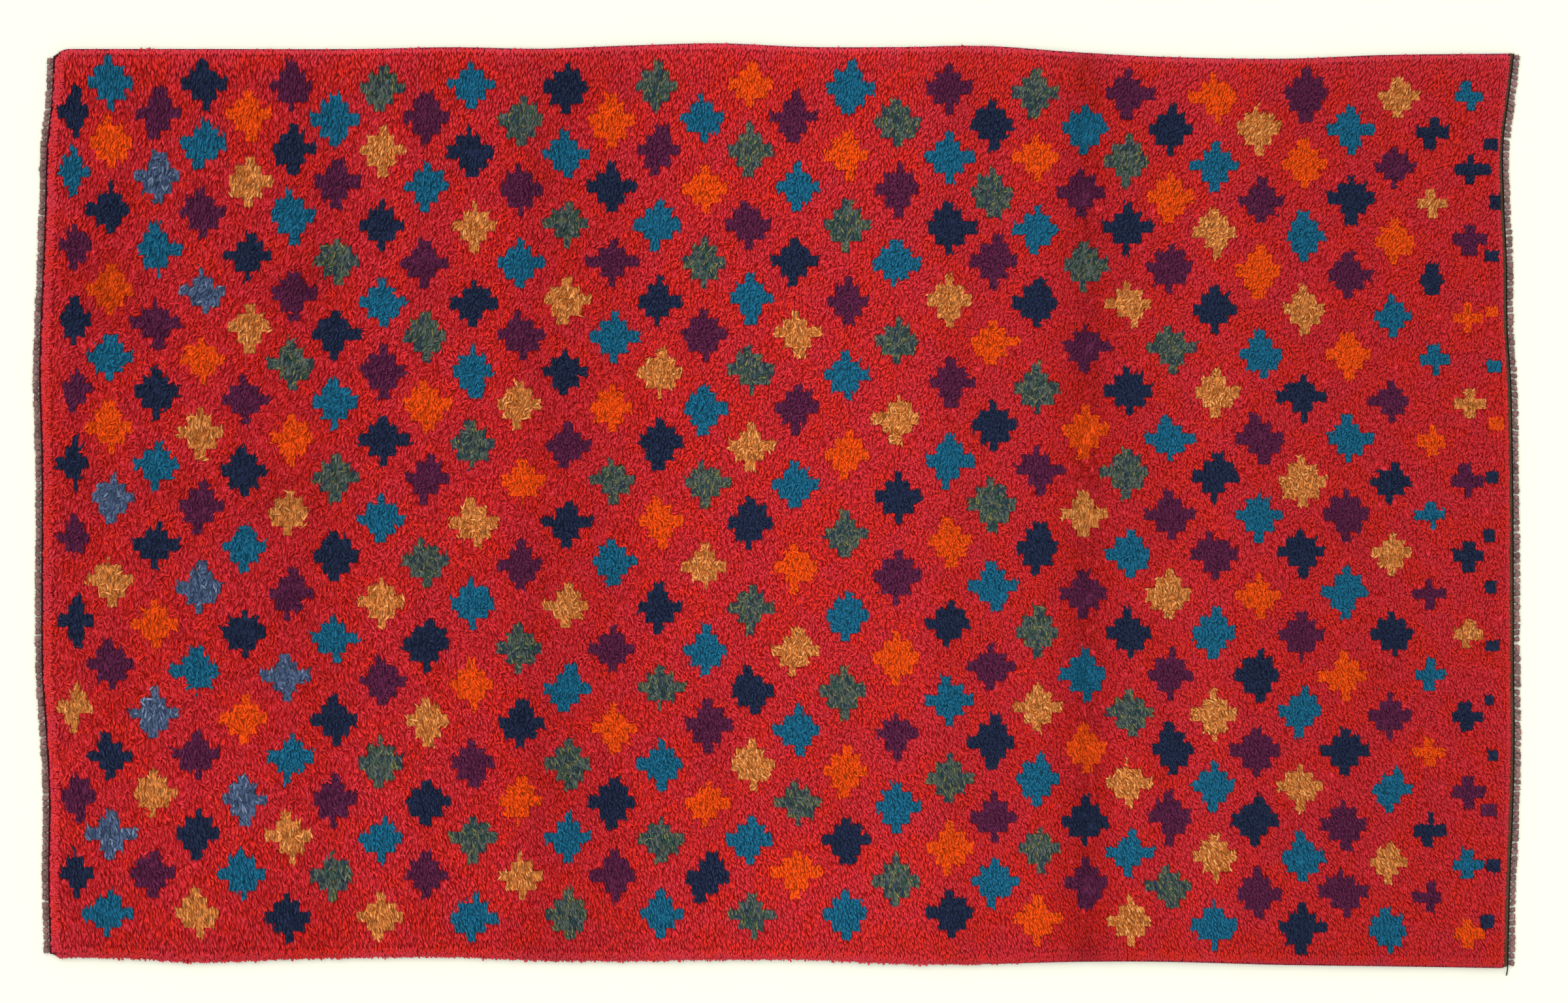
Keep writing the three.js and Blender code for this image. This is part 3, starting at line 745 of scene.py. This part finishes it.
def make_motifs():
    """Crosses on the lattice and then the dots: the place, dye and rows of each."""
    motifs = []
    last = len(COLUMNS) - 1
    for (column, step), dye in choose_dyes().items():
        x, y = lattice_place(column, step)
        x += random.normal(0, MOTIF_STRAY.x)
        y += random.normal(-MOTIF_STRAY.nearer, MOTIF_STRAY.y)
        rows = SMALL_CROSS if column >= last - 1 else CROSS
        if column == 0:
            rows = [(height, width * CUT_WIDTH) for height, width in CROSS]
        rows = motif_rows(rows, LAST_CROSS if column == last - 2 else 1.0)
        motifs.append((x, y, dye, rows))
    for number in range(DOTS.count):
        y = DOTS.first_y - DOTS.step * number + random.normal(0, DOTS.stray_y)
        x = DOTS.x + random.normal(0, DOTS.stray_x)
        motifs.append((x, y, draw_dye(DOT_DYES), motif_rows(DOT)))
    return motifs


def yarn_at(x, y, motifs):
    """The number of the yarn that is knotted at each place."""
    yarn = np.zeros(len(x), int)
    for middle_x, middle_y, dye, rows in motifs:
        close = (np.abs(x - middle_x) < MOTIF_REACH) & (np.abs(y - middle_y) < MOTIF_REACH)
        found = np.flatnonzero(close)
        across = x[found] - middle_x
        up = y[found] - middle_y
        inside = np.zeros(len(found), bool)
        for low, high, left, right in rows:
            inside |= (up >= low) & (up < high) & (across >= left) & (across < right)
        yarn[found[inside]] = YARN_NAMES.index(dye)
    return yarn


# The pile

def tuft_rows():
    """The places of the tufts' tips: rows along the lay in each patch, a little uneven."""
    reach_x = LENGTH / 2 + FIELD_MARGIN
    reach_y = WIDTH / 2 + FIELD_MARGIN
    half = LAY_PATCH * PATCH_REACH
    found = []
    for patch_x in np.arange(-reach_x, reach_x, LAY_PATCH):
        coarse = float(come_to(COARSE, patch_x))
        pitch = TUFT_ACROSS * (1 + COARSE.more * coarse)
        gap = TUFT_ALONG * (1 + COARSE.longer * coarse)
        ranks = np.arange(-half, half, pitch)
        rank, file = np.meshgrid(ranks, np.arange(-half, half, gap), indexing="ij")
        stagger = (np.arange(len(ranks)) % 2)[:, None] * gap / 2
        for patch_y in np.arange(-reach_y, reach_y, LAY_PATCH):
            along = file + stagger + random.uniform(-STRAY_ALONG, STRAY_ALONG, file.shape) * gap
            across = rank + random.uniform(-STRAY_ACROSS, STRAY_ACROSS, rank.shape) * pitch
            middle_x = patch_x + LAY_PATCH / 2
            middle_y = patch_y + LAY_PATCH / 2
            angle = float(lay_angle(middle_x, middle_y))
            x = middle_x + along * math.cos(angle) - across * math.sin(angle)
            y = middle_y + along * math.sin(angle) + across * math.cos(angle)
            here = (x >= patch_x) & (x < patch_x + LAY_PATCH) & (y >= patch_y) & (y < patch_y + LAY_PATCH)
            found.append(np.stack([x[here], y[here]]))
    return np.concatenate(found, axis=1)


def tip_surface(x, y):
    """The height of the pile's tips, rounded off at the rim."""
    return mix(RIM_LOW, pile_height(x, y), rim_share(insets(x, y), TIP_INSET, RIM_ROUND))


def new_tufts(x, y, root_x, root_y, uneven):
    """Tufts from tip to root: after their places, the pile's height over both, and the tips' insets."""
    heights = (tip_surface(x, y) + uneven, tip_surface(root_x, root_y) + uneven)
    return x, y, root_x, root_y, *heights, insets(x, y)


def field_tufts():
    """The tufts of the whole field, their roots kept inside the foundation."""
    x, y = tuft_rows()
    inside = np.all([away > TIP_INSET[side] for side, away in zip(SIDES, insets(x, y))], axis=0)
    x = x[inside]
    y = y[inside]
    count = len(x)
    coarse = come_to(COARSE, x)
    jitter = mix(LAY_JITTER.middle, LAY_JITTER.side, (2 * y / WIDTH) ** 2)
    angle = lay_angle(x, y) + np.radians(random.normal(0, 1, count) * jitter)
    sense = np.where(side_line("far", x) - y < random.uniform(*FAR_PARTING, count), 1, -1)
    length = TUFT.length * random.uniform(*LENGTHS, count) * (1 + COARSE.longer * coarse)
    root_x = x - sense * length * np.cos(angle)
    root_y = y - sense * length * np.sin(angle)
    for (side, (out_x, out_y)), away in zip(SIDES.items(), insets(root_x, root_y)):
        short = np.maximum(ROOT_INSET[side] - away, 0)
        root_x -= out_x * short
        root_y -= out_y * short
    uneven = UNEVEN + COARSE.uneven * coarse - CALM.even * come_to(CALM, x)
    return new_tufts(x, y, root_x, root_y, random.normal(0, 1, count) * uneven)


def point_on_side(side, t, inset):
    """A point along any side of the pile, moved in from the outline by inset."""
    t = np.clip(t, CORNER_GAP, 1 - CORNER_GAP)
    if side in SIDE_SIGN:
        return side_point(side, t, inset, END_FOUNDATION_INSET)
    return end_point(side, t, inset, SIDE_FOUNDATION_INSET)


def rim_locks():
    """Longer locks that cover the pile's outer face, pointing out over each side."""
    found = []
    for side in SIDES:
        long = LENGTH if side in SIDE_SIGN else WIDTH
        count = int(long / RIM_LOCK_PITCH)
        for level in RIM_LEVELS[:THIN_LEVELS] if side in THIN_RIMS else RIM_LEVELS:
            t = (np.arange(count) + random.uniform(0, 1, count)) / count
            inset = RIM_TIP_INSET[side] + level + random.normal(0, RIM_LOCK.stray, count)
            if side == "near":
                ragged = smooth((NEAR_RAGGED.until - t) / NEAR_RAGGED.over)
                inset -= ragged * np.abs(random.normal(0, NEAR_RAGGED.stray, count))
                inset += (1 - ragged) * NEAR_RAGGED.trim
            if side == "far":
                inset -= np.abs(random.normal(0, FAR_RAGGED, count))
            edge = point_on_side(side, t, inset)
            t = t + random.normal(0, RIM_LOCK.slant, count) / long
            root = point_on_side(side, t, inset + RIM_LOCK.length + RIM_LOCK.longer * level)
            found.append(np.stack([*edge, *root]))
    places = np.concatenate(found, axis=1)
    return new_tufts(*places, random.uniform(*RIM_LOCK.uneven, places.shape[1]))


def tuft_points(x, y, root_x, root_y, z, top, width, thick):
    """Five points of each tuft: its root, a bend with a left, a crest and a right, and its tip."""
    count = len(x)
    long = np.maximum(np.hypot(x - root_x, y - root_y), 0.01)
    lay_x = ((x - root_x) / long)[:, None]
    lay_y = ((y - root_y) / long)[:, None]
    long = np.maximum(long, TUFT.shortest)[:, None]
    half = width / 2 * random.uniform(*WIDTHS, count)
    bend = random.uniform(*TUFT_BEND, count)
    root_z = np.maximum(top - TUFT.rise * random.uniform(*RISES, count), ROOT_LOWEST)
    crest_z = mix(top, z, bend)
    side_z = crest_z - thick * random.uniform(*WIDTHS, count)
    tip_z = z - TUFT.droop * random.uniform(*DROOPS, count)
    none = 0 * bend
    along = stacked(none, bend, bend, bend, none + 1)
    sideways = stacked(none, half, none, -half, none)
    back = (1 - along) * long
    x = x[:, None] - lay_x * back - lay_y * sideways
    y = y[:, None] - lay_y * back + lay_x * sideways
    points = stacked(x, y, stacked(root_z, side_z, crest_z, side_z, tip_z))
    return points, along, sideways, along * long


# The six faces of a tuft, and their corners' places in its square cell of the bake
TUFT_FACES = np.array([[0, 2, 1], [0, 3, 2], [4, 1, 2], [4, 2, 3], [0, 1, 3], [4, 3, 1]])
CELL = [(0.02, 0.5), (0.58, 0.98), (0.58, 0.5), (0.58, 0.02), (0.98, 0.5)]
UNDER_CELLS = [[(0.02, 0.98), (0.3, 0.98), (0.02, 0.72)], [(0.98, 0.98), (0.98, 0.72), (0.76, 0.98)]]
FACE_CELLS = np.array([[CELL[corner] for corner in face] for face in TUFT_FACES[:4]] + UNDER_CELLS)
FIBRE_SHIFT = 90  # how far apart in the noise the fibres of two tufts may lie


def add_tufts(name, tufts, yarn):
    """One piece of tufts that share a yarn."""
    x, y, root_x, root_y, z, top, inset = tufts
    _, thickness, vary, often_sunk = YARNS[yarn]
    count = len(x)
    coarse = come_to(COARSE, x)
    calm = come_to(CALM, x)
    relief = 1 - CALM.less * calm
    sunk = random.random(count) < often_sunk * relief * (1 + COARSE.sunk * coarse)
    lift = PROUD * (yarn != "red") - SUNK.depth * sunk
    width = TUFT.width * thickness * (1 + COARSE.more * coarse)
    places = (x, y, root_x, root_y, z + lift, top + lift)
    points, along, *strand = tuft_points(*places, width, TUFT.thick * relief)
    # painted shade on sunk tufts
    tone = tone_at(x, y, inset) * (1 - SUNK.shade * sunk)
    tone *= 1 + vary * relief * random.normal(0, 1, count).clip(-VARY.limit, VARY.limit) * VARY.share
    chance = random.random(count)
    if yarn == "red":
        # more painted shade on sunk tufts and in the listed places, more painted sheen towards the far side
        chance = mix(0.5, chance, relief) * (1 - SUNK.chance * sunk) - shade_over_sheen(x, y)
        # painted pink sheen near the rim
        for side, inside in zip(SIDES, inset):
            chance += np.exp(-np.maximum(inside - TIP_INSET[side], 0) / RIM_SHEEN_REACH[side])
    chance = chance[:, None]
    level = mix(along, CALM.shade, CALM.level * calm[:, None])
    attributes = {
        "tuft": stacked(*np.broadcast_arrays(tone[:, None], chance, level)),
        "strand": stacked(*np.broadcast_arrays(*strand, chance * FIBRE_SHIFT)),
    }
    corners = np.arange(count)[:, None, None] * points.shape[1] + TUFT_FACES
    grid = int(math.ceil(math.sqrt(count)))
    cell = stacked(np.arange(count) % grid, np.arange(count) // grid)
    cells = (cell[:, None, None, :] + FACE_CELLS) / grid
    sizes = np.full(count * len(TUFT_FACES), 3)
    wools = [pile_wool[yarn]]
    return add_piece(name, points, corners, sizes, wools, "pile", attributes=attributes, cells=cells)


TUFT_YARN_FROM = (0.2, 0.4)  # a tuft has the yarn that lies under it so far from its tip to its root
TIP_PLACE = 0.05
ROOT_PLACE = 0.65
TUCK = 0.8  # of the way to its root for a tuft that would lie over another yarn there


def make_pile(motifs):
    """All the tufts in pieces by yarn, the red ones in bands along the rug."""
    tufts = [np.concatenate(both, axis=-1) for both in zip(field_tufts(), rim_locks())]
    x, y, root_x, root_y = tufts[:4]

    def yarn_along(share):
        return yarn_at(mix(x, root_x, share), mix(y, root_y, share), motifs)

    back = random.uniform(*TUFT_YARN_FROM, len(x))
    yarn = yarn_along(back)
    astray = np.where(yarn_along(TIP_PLACE) == yarn, 0, back * random.uniform(0, 1, len(x)))
    tucked = np.where(yarn_along(ROOT_PLACE) == yarn, 1, TUCK)
    for tip, root in ((0, 2), (1, 3)):
        tufts[tip] = mix(tufts[tip], tufts[root], astray)
        tufts[root] = mix(tufts[tip], tufts[root], tucked)
    red = np.flatnonzero(yarn == 0)
    order = red[np.argsort(tufts[0][red], kind="stable")]
    bands = np.array_split(order, RED_BANDS)
    groups = [(f"pile_red_{number}", "red", band) for number, band in enumerate(bands, start=1)]
    for number, name in enumerate(YARN_NAMES[1:], start=1):
        groups.append((f"pile_{name}", name, np.flatnonzero(yarn == number)))
    return [add_tufts(name, [values[..., chosen] for values in tufts], dye) for name, dye, chosen in groups]


def bed_height(x, y):
    """The knots' bed, some way under the pile's tips."""
    edge = {side: inset - BED_EDGE_INSET for side, inset in ROOT_INSET.items()}
    depth = BED_DEPTH * (1 - BED_CALM * come_to(CALM, x))
    return mix(BED_EDGE_HEIGHT, pile_height(x, y) - depth, rim_share(insets(x, y), edge, RIM_ROUND))


def stations(length):
    """Shares of a length, close together at both ends."""
    close = np.array(BED_CLOSE_STEPS)
    count = int((length - 2 * BED_EVEN_FROM) / BED_STEP)
    even = np.linspace(BED_EVEN_FROM, length - BED_EVEN_FROM, count)
    return np.concatenate([close, even, (length - close)[::-1]]) / length


def make_body():
    """The bed of knots on its woven foundation: lumpy above, flat below."""
    s, t = np.meshgrid(stations(LENGTH), stations(WIDTH), indexing="ij")
    left = end_line("left", t) + END_FOUNDATION_INSET
    right = end_line("right", t) - END_FOUNDATION_INSET
    x = mix(left, right, s)
    y = mix(side_line("near", x) + SIDE_FOUNDATION_INSET, side_line("far", x) - SIDE_FOUNDATION_INSET, t)
    top = stacked(x, y, bed_height(x, y)).reshape(-1, 3)
    index = np.arange(s.size).reshape(s.shape)
    quads = stacked(index[:-1, :-1], index[1:, :-1], index[1:, 1:], index[:-1, 1:]).reshape(-1, 4)
    edge = np.concatenate([index[:-1, 0], index[-1, :-1], index[:0:-1, -1], index[0, :0:-1]])
    low = s.size + np.arange(len(edge))
    walls = wall_faces(low, edge)
    points = np.concatenate([top, top[edge] * [1, 1, 0]])
    corners = np.concatenate([quads.ravel(), walls.ravel(), low[::-1]])
    sizes = [4] * (len(quads) + len(walls)) + [len(low)]
    rounded = np.array([True] * len(quads) + [False] * (len(walls) + 1))
    body = add_piece("knotted_body", points, corners, sizes, [bed_wools[0]], "pile", rounded, laid=True)
    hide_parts("rug_body")
    return body


def make_beds(motifs):
    """Under each motif, the bed of its knots in its own dye."""
    points = []
    corners = []
    sizes = []
    dyes = []
    first = 0
    for middle_x, middle_y, dye, rows in motifs:
        right = [(side, y) for low, high, _, side in rows for y in (high, low)]
        left = [(side, y) for low, high, side, _ in rows for y in (high, low)]
        outline = np.array(left + right[::-1], float)
        x = middle_x + outline[:, 0] * MOTIF_BED.share
        y = middle_y + outline[:, 1] * MOTIF_BED.share
        z = bed_height(x, y)
        count = len(x)
        rise = DOT_RISE if len(rows) == 1 else MOTIF_BED.rise
        points += [stacked(x, y, z + rise), stacked(x, y, z - MOTIF_BED.sink)]
        top = first + np.arange(count)
        low = top + count
        first += 2 * count
        corners += [top, low[::-1], wall_faces(low, top).ravel()]
        sizes += [count, count] + [4] * count
        dyes += [YARN_NAMES.index(dye)] * (count + 2)
    points = np.concatenate(points)
    corners = np.concatenate(corners)
    piece = add_piece("motif_beds", points, corners, sizes, bed_wools, "pile", False, laid=True)
    piece.data.polygons.foreach_set("material_index", np.array(dyes, np.int32))
    return piece


# The edges

SELVEDGE_SECTION = [(0.22, 0.0), (0.78, 0.0), (1.0, 0.45), (0.75, 1.0), (0.25, 1.0), (0.0, 0.45)]
WRAP = Sizes(pitch=2.9, rings=3, swell=0.13, slant=0.6, uneven=0.02, widest=1.08, height=0.93)


def make_selvedge(side):
    """The cord along a long side, wound with wool in slanting turns."""
    count = int(LENGTH / WRAP.pitch * WRAP.rings)
    along = np.linspace(0, 1, count)
    turn = np.arange(count) * 2 * np.pi / WRAP.rings
    lines = []
    for number, (inset, height) in enumerate(SELVEDGE_SECTION):
        wound = WRAP.swell * np.cos(turn + number * WRAP.slant)
        swell = 1 + wound + random.normal(0, WRAP.uneven, count)
        across = 0.5 + (inset - 0.5) * np.minimum(swell, WRAP.widest)
        x, y = side_point(side, along, across * SELVEDGE_WIDTH, END_FOUNDATION_INSET)
        z = height * SELVEDGE_HEIGHT * np.where(height > 0, swell, 1) * WRAP.height
        lines.append(stacked(x, y, z))
    node = f"selvedge_{side}"
    return add_tube(f"overcast_{side}", lines, selvedge_wool, "edge_wool", node, turned=side == "far")


TWIST = Sizes(pitch=4.2, rings=4, sides=6, mean=0.82, depth=0.2)


def make_twining(end):
    """The twined line on the strip: two plies that turn about each other."""
    middle = WARP_END_REACH + TWINING_FROM_STRIP_EDGE + TWINING_WIDTH / 2
    count = int(WIDTH / TWIST.pitch * TWIST.rings)
    x, y = end_point(end, np.linspace(0, 1, count), middle)
    z = np.full(count, STRIP_HEIGHT + PIECE_GAP + TWINING_HEIGHT / 2)
    if end == "right":
        tail = np.linspace(1, 0, LOOSE_THREAD.rings + 1)[:-1]
        x = np.concatenate([x[0] - LOOSE_THREAD.bend * tail**2, x])
        y = np.concatenate([y[0] - LOOSE_THREAD.length * tail, y])
        z = np.concatenate([z[0] - LOOSE_THREAD.drop * tail, z])
        count = len(x)
    turn = np.arange(count) * 2 * np.pi / TWIST.rings / 2
    lines = []
    for side in range(TWIST.sides):
        angle = 2 * np.pi * side / TWIST.sides
        radius = TWINING_WIDTH / 2 * (TWIST.mean + TWIST.depth * np.cos(2 * (angle - turn)))
        lines.append(stacked(x - radius * np.cos(angle), y, z + radius * np.sin(angle)))
    return add_tube(f"twined_line_{end}", lines, twine_wool[end], "dark_thread", f"twining_{end}")


STRIP_RIB = Sizes(pitch=2.1, depth=0.24)
STRIP_SECTION = [  # how far in from its outer edge, how high, and which way it is ribbed
    (0.0, 0.72, 1), (0.18, 0.9, -1), (0.42, 0.9, 1), (0.66, 0.9, -1), (0.9, 0.9, 1), (1.0, 0.72, -1),
    (1.0, 0, 0), (0.0, 0, 0),
]


def make_strip(end):
    """The flat-woven strip, ribbed by its warps."""
    count = int(WIDTH / STRIP_RIB.pitch * 2)
    across = np.linspace(0, 1, count)
    wave = np.where(np.arange(count) % 2 == 0, 1.0, -1.0)
    lines = []
    for inset, height, rib in STRIP_SECTION:
        edge = end_point(end, across, WARP_END_REACH + inset * STRIP_WIDTH)
        lines.append(stacked(*edge, STRIP_HEIGHT * height + STRIP_RIB.depth * wave * rib))
    return add_tube(f"flatweave_{end}", lines, strip_wool[end], "warp_yarn", turned=end == "right")


# A knotted warp end from its root to its tip: half its width and half its height
KNOT = table(
    "at width height",
    (0.0, 2.7, 1.3), (0.14, 2.6, 1.2), (0.34, 3.6, 1.7), (0.62, 3.9, 1.9), (0.86, 3.5, 1.5), (1.0, 2.9, 0.8),
)
KNOT_SIDES = 8
KNOT_SIZES = (0.74, 1.1)
KNOT_TONES = (0.75, 1.2)
LEFT_KNOTS = 1.12  # size of those at the left end
KNOT_STRAY = 0.7
KNOT_LOBES = Sizes(depth=0.14, twist=7, uneven=0.1)
KNOT_ROOT = 0.6  # how far its root reaches into the strip
KNOT_LOWEST = 0.02
# The loose fibres of one warp end: their size, where they come out and how they stray
FRAY = Sizes(
    count=36, long=(1.4, 4.2), thick=0.4, foot=0.6, start=(0.2, 1.0), behind=0.12,
    spread=0.9, middle=1.9, heights=(-0.6, 0.8), turn=1.3, jitter=0.3,
    droop=(-1.2, 0.6), lowest=0.1, tone=1.3,
)
SPIKE_FACES = np.array([[0, 1, 2], [0, 3, 1], [1, 3, 2], [0, 2, 3]])


def knotted_cords(x, y, reach, slant, size, sign):
    """The rings of points round each knotted cord, twisted and lumpy."""
    rings = []
    for at, width, height in zip(*KNOT.values()):
        ring = []
        for side in range(KNOT_SIDES):
            angle = 2 * np.pi * side / KNOT_SIDES
            twist = np.cos(2 * angle - KNOT_LOBES.twist * at + np.arange(WARP_ENDS))
            lobes = 1 + KNOT_LOBES.depth * twist + random.normal(0, KNOT_LOBES.uneven, WARP_ENDS)
            across = np.cos(angle) * width * size * lobes * sign
            z = np.maximum(height * size * (1 + np.sin(angle) * lobes), KNOT_LOWEST)
            ring.append(stacked(x + reach * at - KNOT_ROOT * sign * (at == 0), y + slant * at + across, z))
        rings.append(np.stack(ring, axis=1))
    return np.stack(rings, axis=1).reshape(-1, 3)


def loose_fibres(x, y, reach, slant, size, sign):
    """A thin spike for each loose fibre, given the cord that it comes out of."""
    count = len(x)
    at = random.uniform(*FRAY.start, count)
    out = random.uniform(-1, 1, count)
    width = np.interp(at, KNOT["at"], KNOT["width"])
    x = x + reach * (at - FRAY.behind)
    y = y + slant * at + out * width * size * FRAY.spread
    z = FRAY.middle * size * (1 + np.sqrt(1 - out * out) * random.uniform(*FRAY.heights, count))
    long = random.uniform(*FRAY.long, count)
    angle = out * FRAY.turn + random.normal(0, FRAY.jitter, count)
    tip_z = np.maximum(z + random.uniform(*FRAY.droop, count), FRAY.lowest)
    thick = FRAY.thick
    foot = z - thick * FRAY.foot
    spikes = [stacked(x + sign * long * np.cos(angle), y + long * np.sin(angle), tip_z)]
    spikes += [stacked(x, y, z + thick), stacked(x, y + thick, foot), stacked(x, y - thick, foot)]
    return np.stack(spikes, axis=1).reshape(-1, 3)


def make_warp_ends(end):
    """Knotted ends of the warps, twisted and frayed, lying on the floor."""
    sign = END_SIGN[end]
    k = np.arange(WARP_ENDS)
    x, y = end_point(end, (k + 0.5) / WARP_ENDS, WARP_END_REACH)
    reach = (WARP_END_REACH - WARP_END_UNEVEN * random.random(WARP_ENDS)) * sign
    slant = np.sin(k * WARP_END_SLANT_TURN) * WARP_END_SLANT + random.normal(0, KNOT_STRAY, WARP_ENDS)
    size = random.uniform(*KNOT_SIZES, WARP_ENDS) * (LEFT_KNOTS if end == "left" else 1)
    tone = random.uniform(*KNOT_TONES, WARP_ENDS)
    cords = (x, y, reach, slant, size)
    owner = np.repeat(k, FRAY.count)
    knots = knotted_cords(*cords, sign)
    fibres = loose_fibres(*[values[owner] for values in cords], sign)
    rings = len(KNOT["at"])
    corners, sizes = tube_faces(WARP_ENDS, rings, KNOT_SIDES)
    faces = SPIKE_FACES if end == "left" else SPIKE_FACES[:, ::-1]
    spikes = np.arange(len(owner))[:, None, None] * 4 + faces + len(knots)
    shade = np.concatenate([np.repeat(tone, rings * KNOT_SIDES), np.repeat(FRAY.tone * tone[owner], 4)])
    piece = add_piece(
        f"knotted_ends_{end}",
        np.concatenate([knots, fibres]),
        np.concatenate([corners, spikes.ravel()]),
        np.concatenate([sizes, np.full(len(owner) * 4, 3)]),
        [warp_wool], "warp_yarn", attributes={"shade": np.repeat(shade[:, None], 3, axis=1)},
    )
    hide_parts(f"warp_ends_{end}")
    return piece


# The edges' yarns: their colour, their streaks to a metre and how those are drawn out
selvedge_wool = wrapped_wool("selvedge_wool", (108, 32, 52), 700, (0.4, 1, 1))
twine_wool = {
    "left": wrapped_wool("twine_maroon", (84, 24, 37), 900, (1, 0.5, 1)),
    "right": wrapped_wool("twine_black", (30, 26, 34), 900, (1, 0.5, 1)),
}
strip_wool = {
    "left": wrapped_wool("strip_maroon", (88, 34, 38), 900, (0.4, 1, 1)),
    "right": wrapped_wool("strip_brown", (92, 72, 50), 900, (0.4, 1, 1)),
}
warp_wool = wrapped_wool("warp_wool", (128, 98, 94), 600, (1, 1, 1), shaded=True)

motifs = make_motifs()
body = make_body()
parts = [make_beds(motifs)]
parts += make_pile(motifs)
parts += [make_selvedge(side) for side in SIDE_SIGN]
for end in END_SIGN:
    parts += [make_strip(end), make_twining(end), make_warp_ends(end)]


# Floor, light and camera

FLOOR_SIZE = 9.0  # metres
FLOOR_DEPTH = 0.0005
FLOOR_FINISH = {"Base Color": (0.8, 0.8, 0.68, 1), "Roughness": 0.95, "Specular IOR Level": 0.0}
SKY = 1.17
LAMP = Sizes(energy=0.9, angle=60, turn=(-38, -24))  # wide and soft, from the far left
LENS = 70
SENSOR = 36
FRAME_WIDTH = 2.0  # metres of the rug's surface that the photo takes in from side to side
AIM = (0.0091, 0.0103)


def make_floor():
    mesh = bpy.data.meshes.new("floor")
    half = FLOOR_SIZE / 2
    corners = [(-half, -half, 0), (half, -half, 0), (half, half, 0), (-half, half, 0)]
    mesh.from_pydata(corners, [], [(0, 1, 2, 3)])
    mesh.materials.append(new_material("pale_floor", FLOOR_FINISH)[0])
    floor = add_object("floor", mesh)
    floor.location = (0, 0, -FLOOR_DEPTH)


def make_light():
    """An even, soft light from all round, and the lamp."""
    world = bpy.data.worlds.new("studio")
    bpy.context.scene.world = world
    world.use_nodes = True
    background = world.node_tree.nodes["Background"]
    background.inputs["Color"].default_value = (1, 1, 1, 1)
    background.inputs["Strength"].default_value = SKY
    lamp = bpy.data.lights.new("key", "SUN")
    lamp.energy = LAMP.energy
    lamp.angle = math.radians(LAMP.angle)
    turn_x, turn_y = LAMP.turn
    add_object("key", lamp).rotation_euler = (math.radians(turn_x), math.radians(turn_y), 0)


def make_camera():
    camera = bpy.data.cameras.new("camera")
    camera.lens = LENS
    camera.sensor_width = SENSOR
    camera.clip_end = 50
    view = add_object("camera", camera)
    view.location = (*AIM, FRAME_WIDTH * LENS / SENSOR + PILE_TOP * MM)
    bpy.context.scene.camera = view


make_floor()
make_light()
make_camera()
bpy.context.scene.view_settings.view_transform = "Standard"
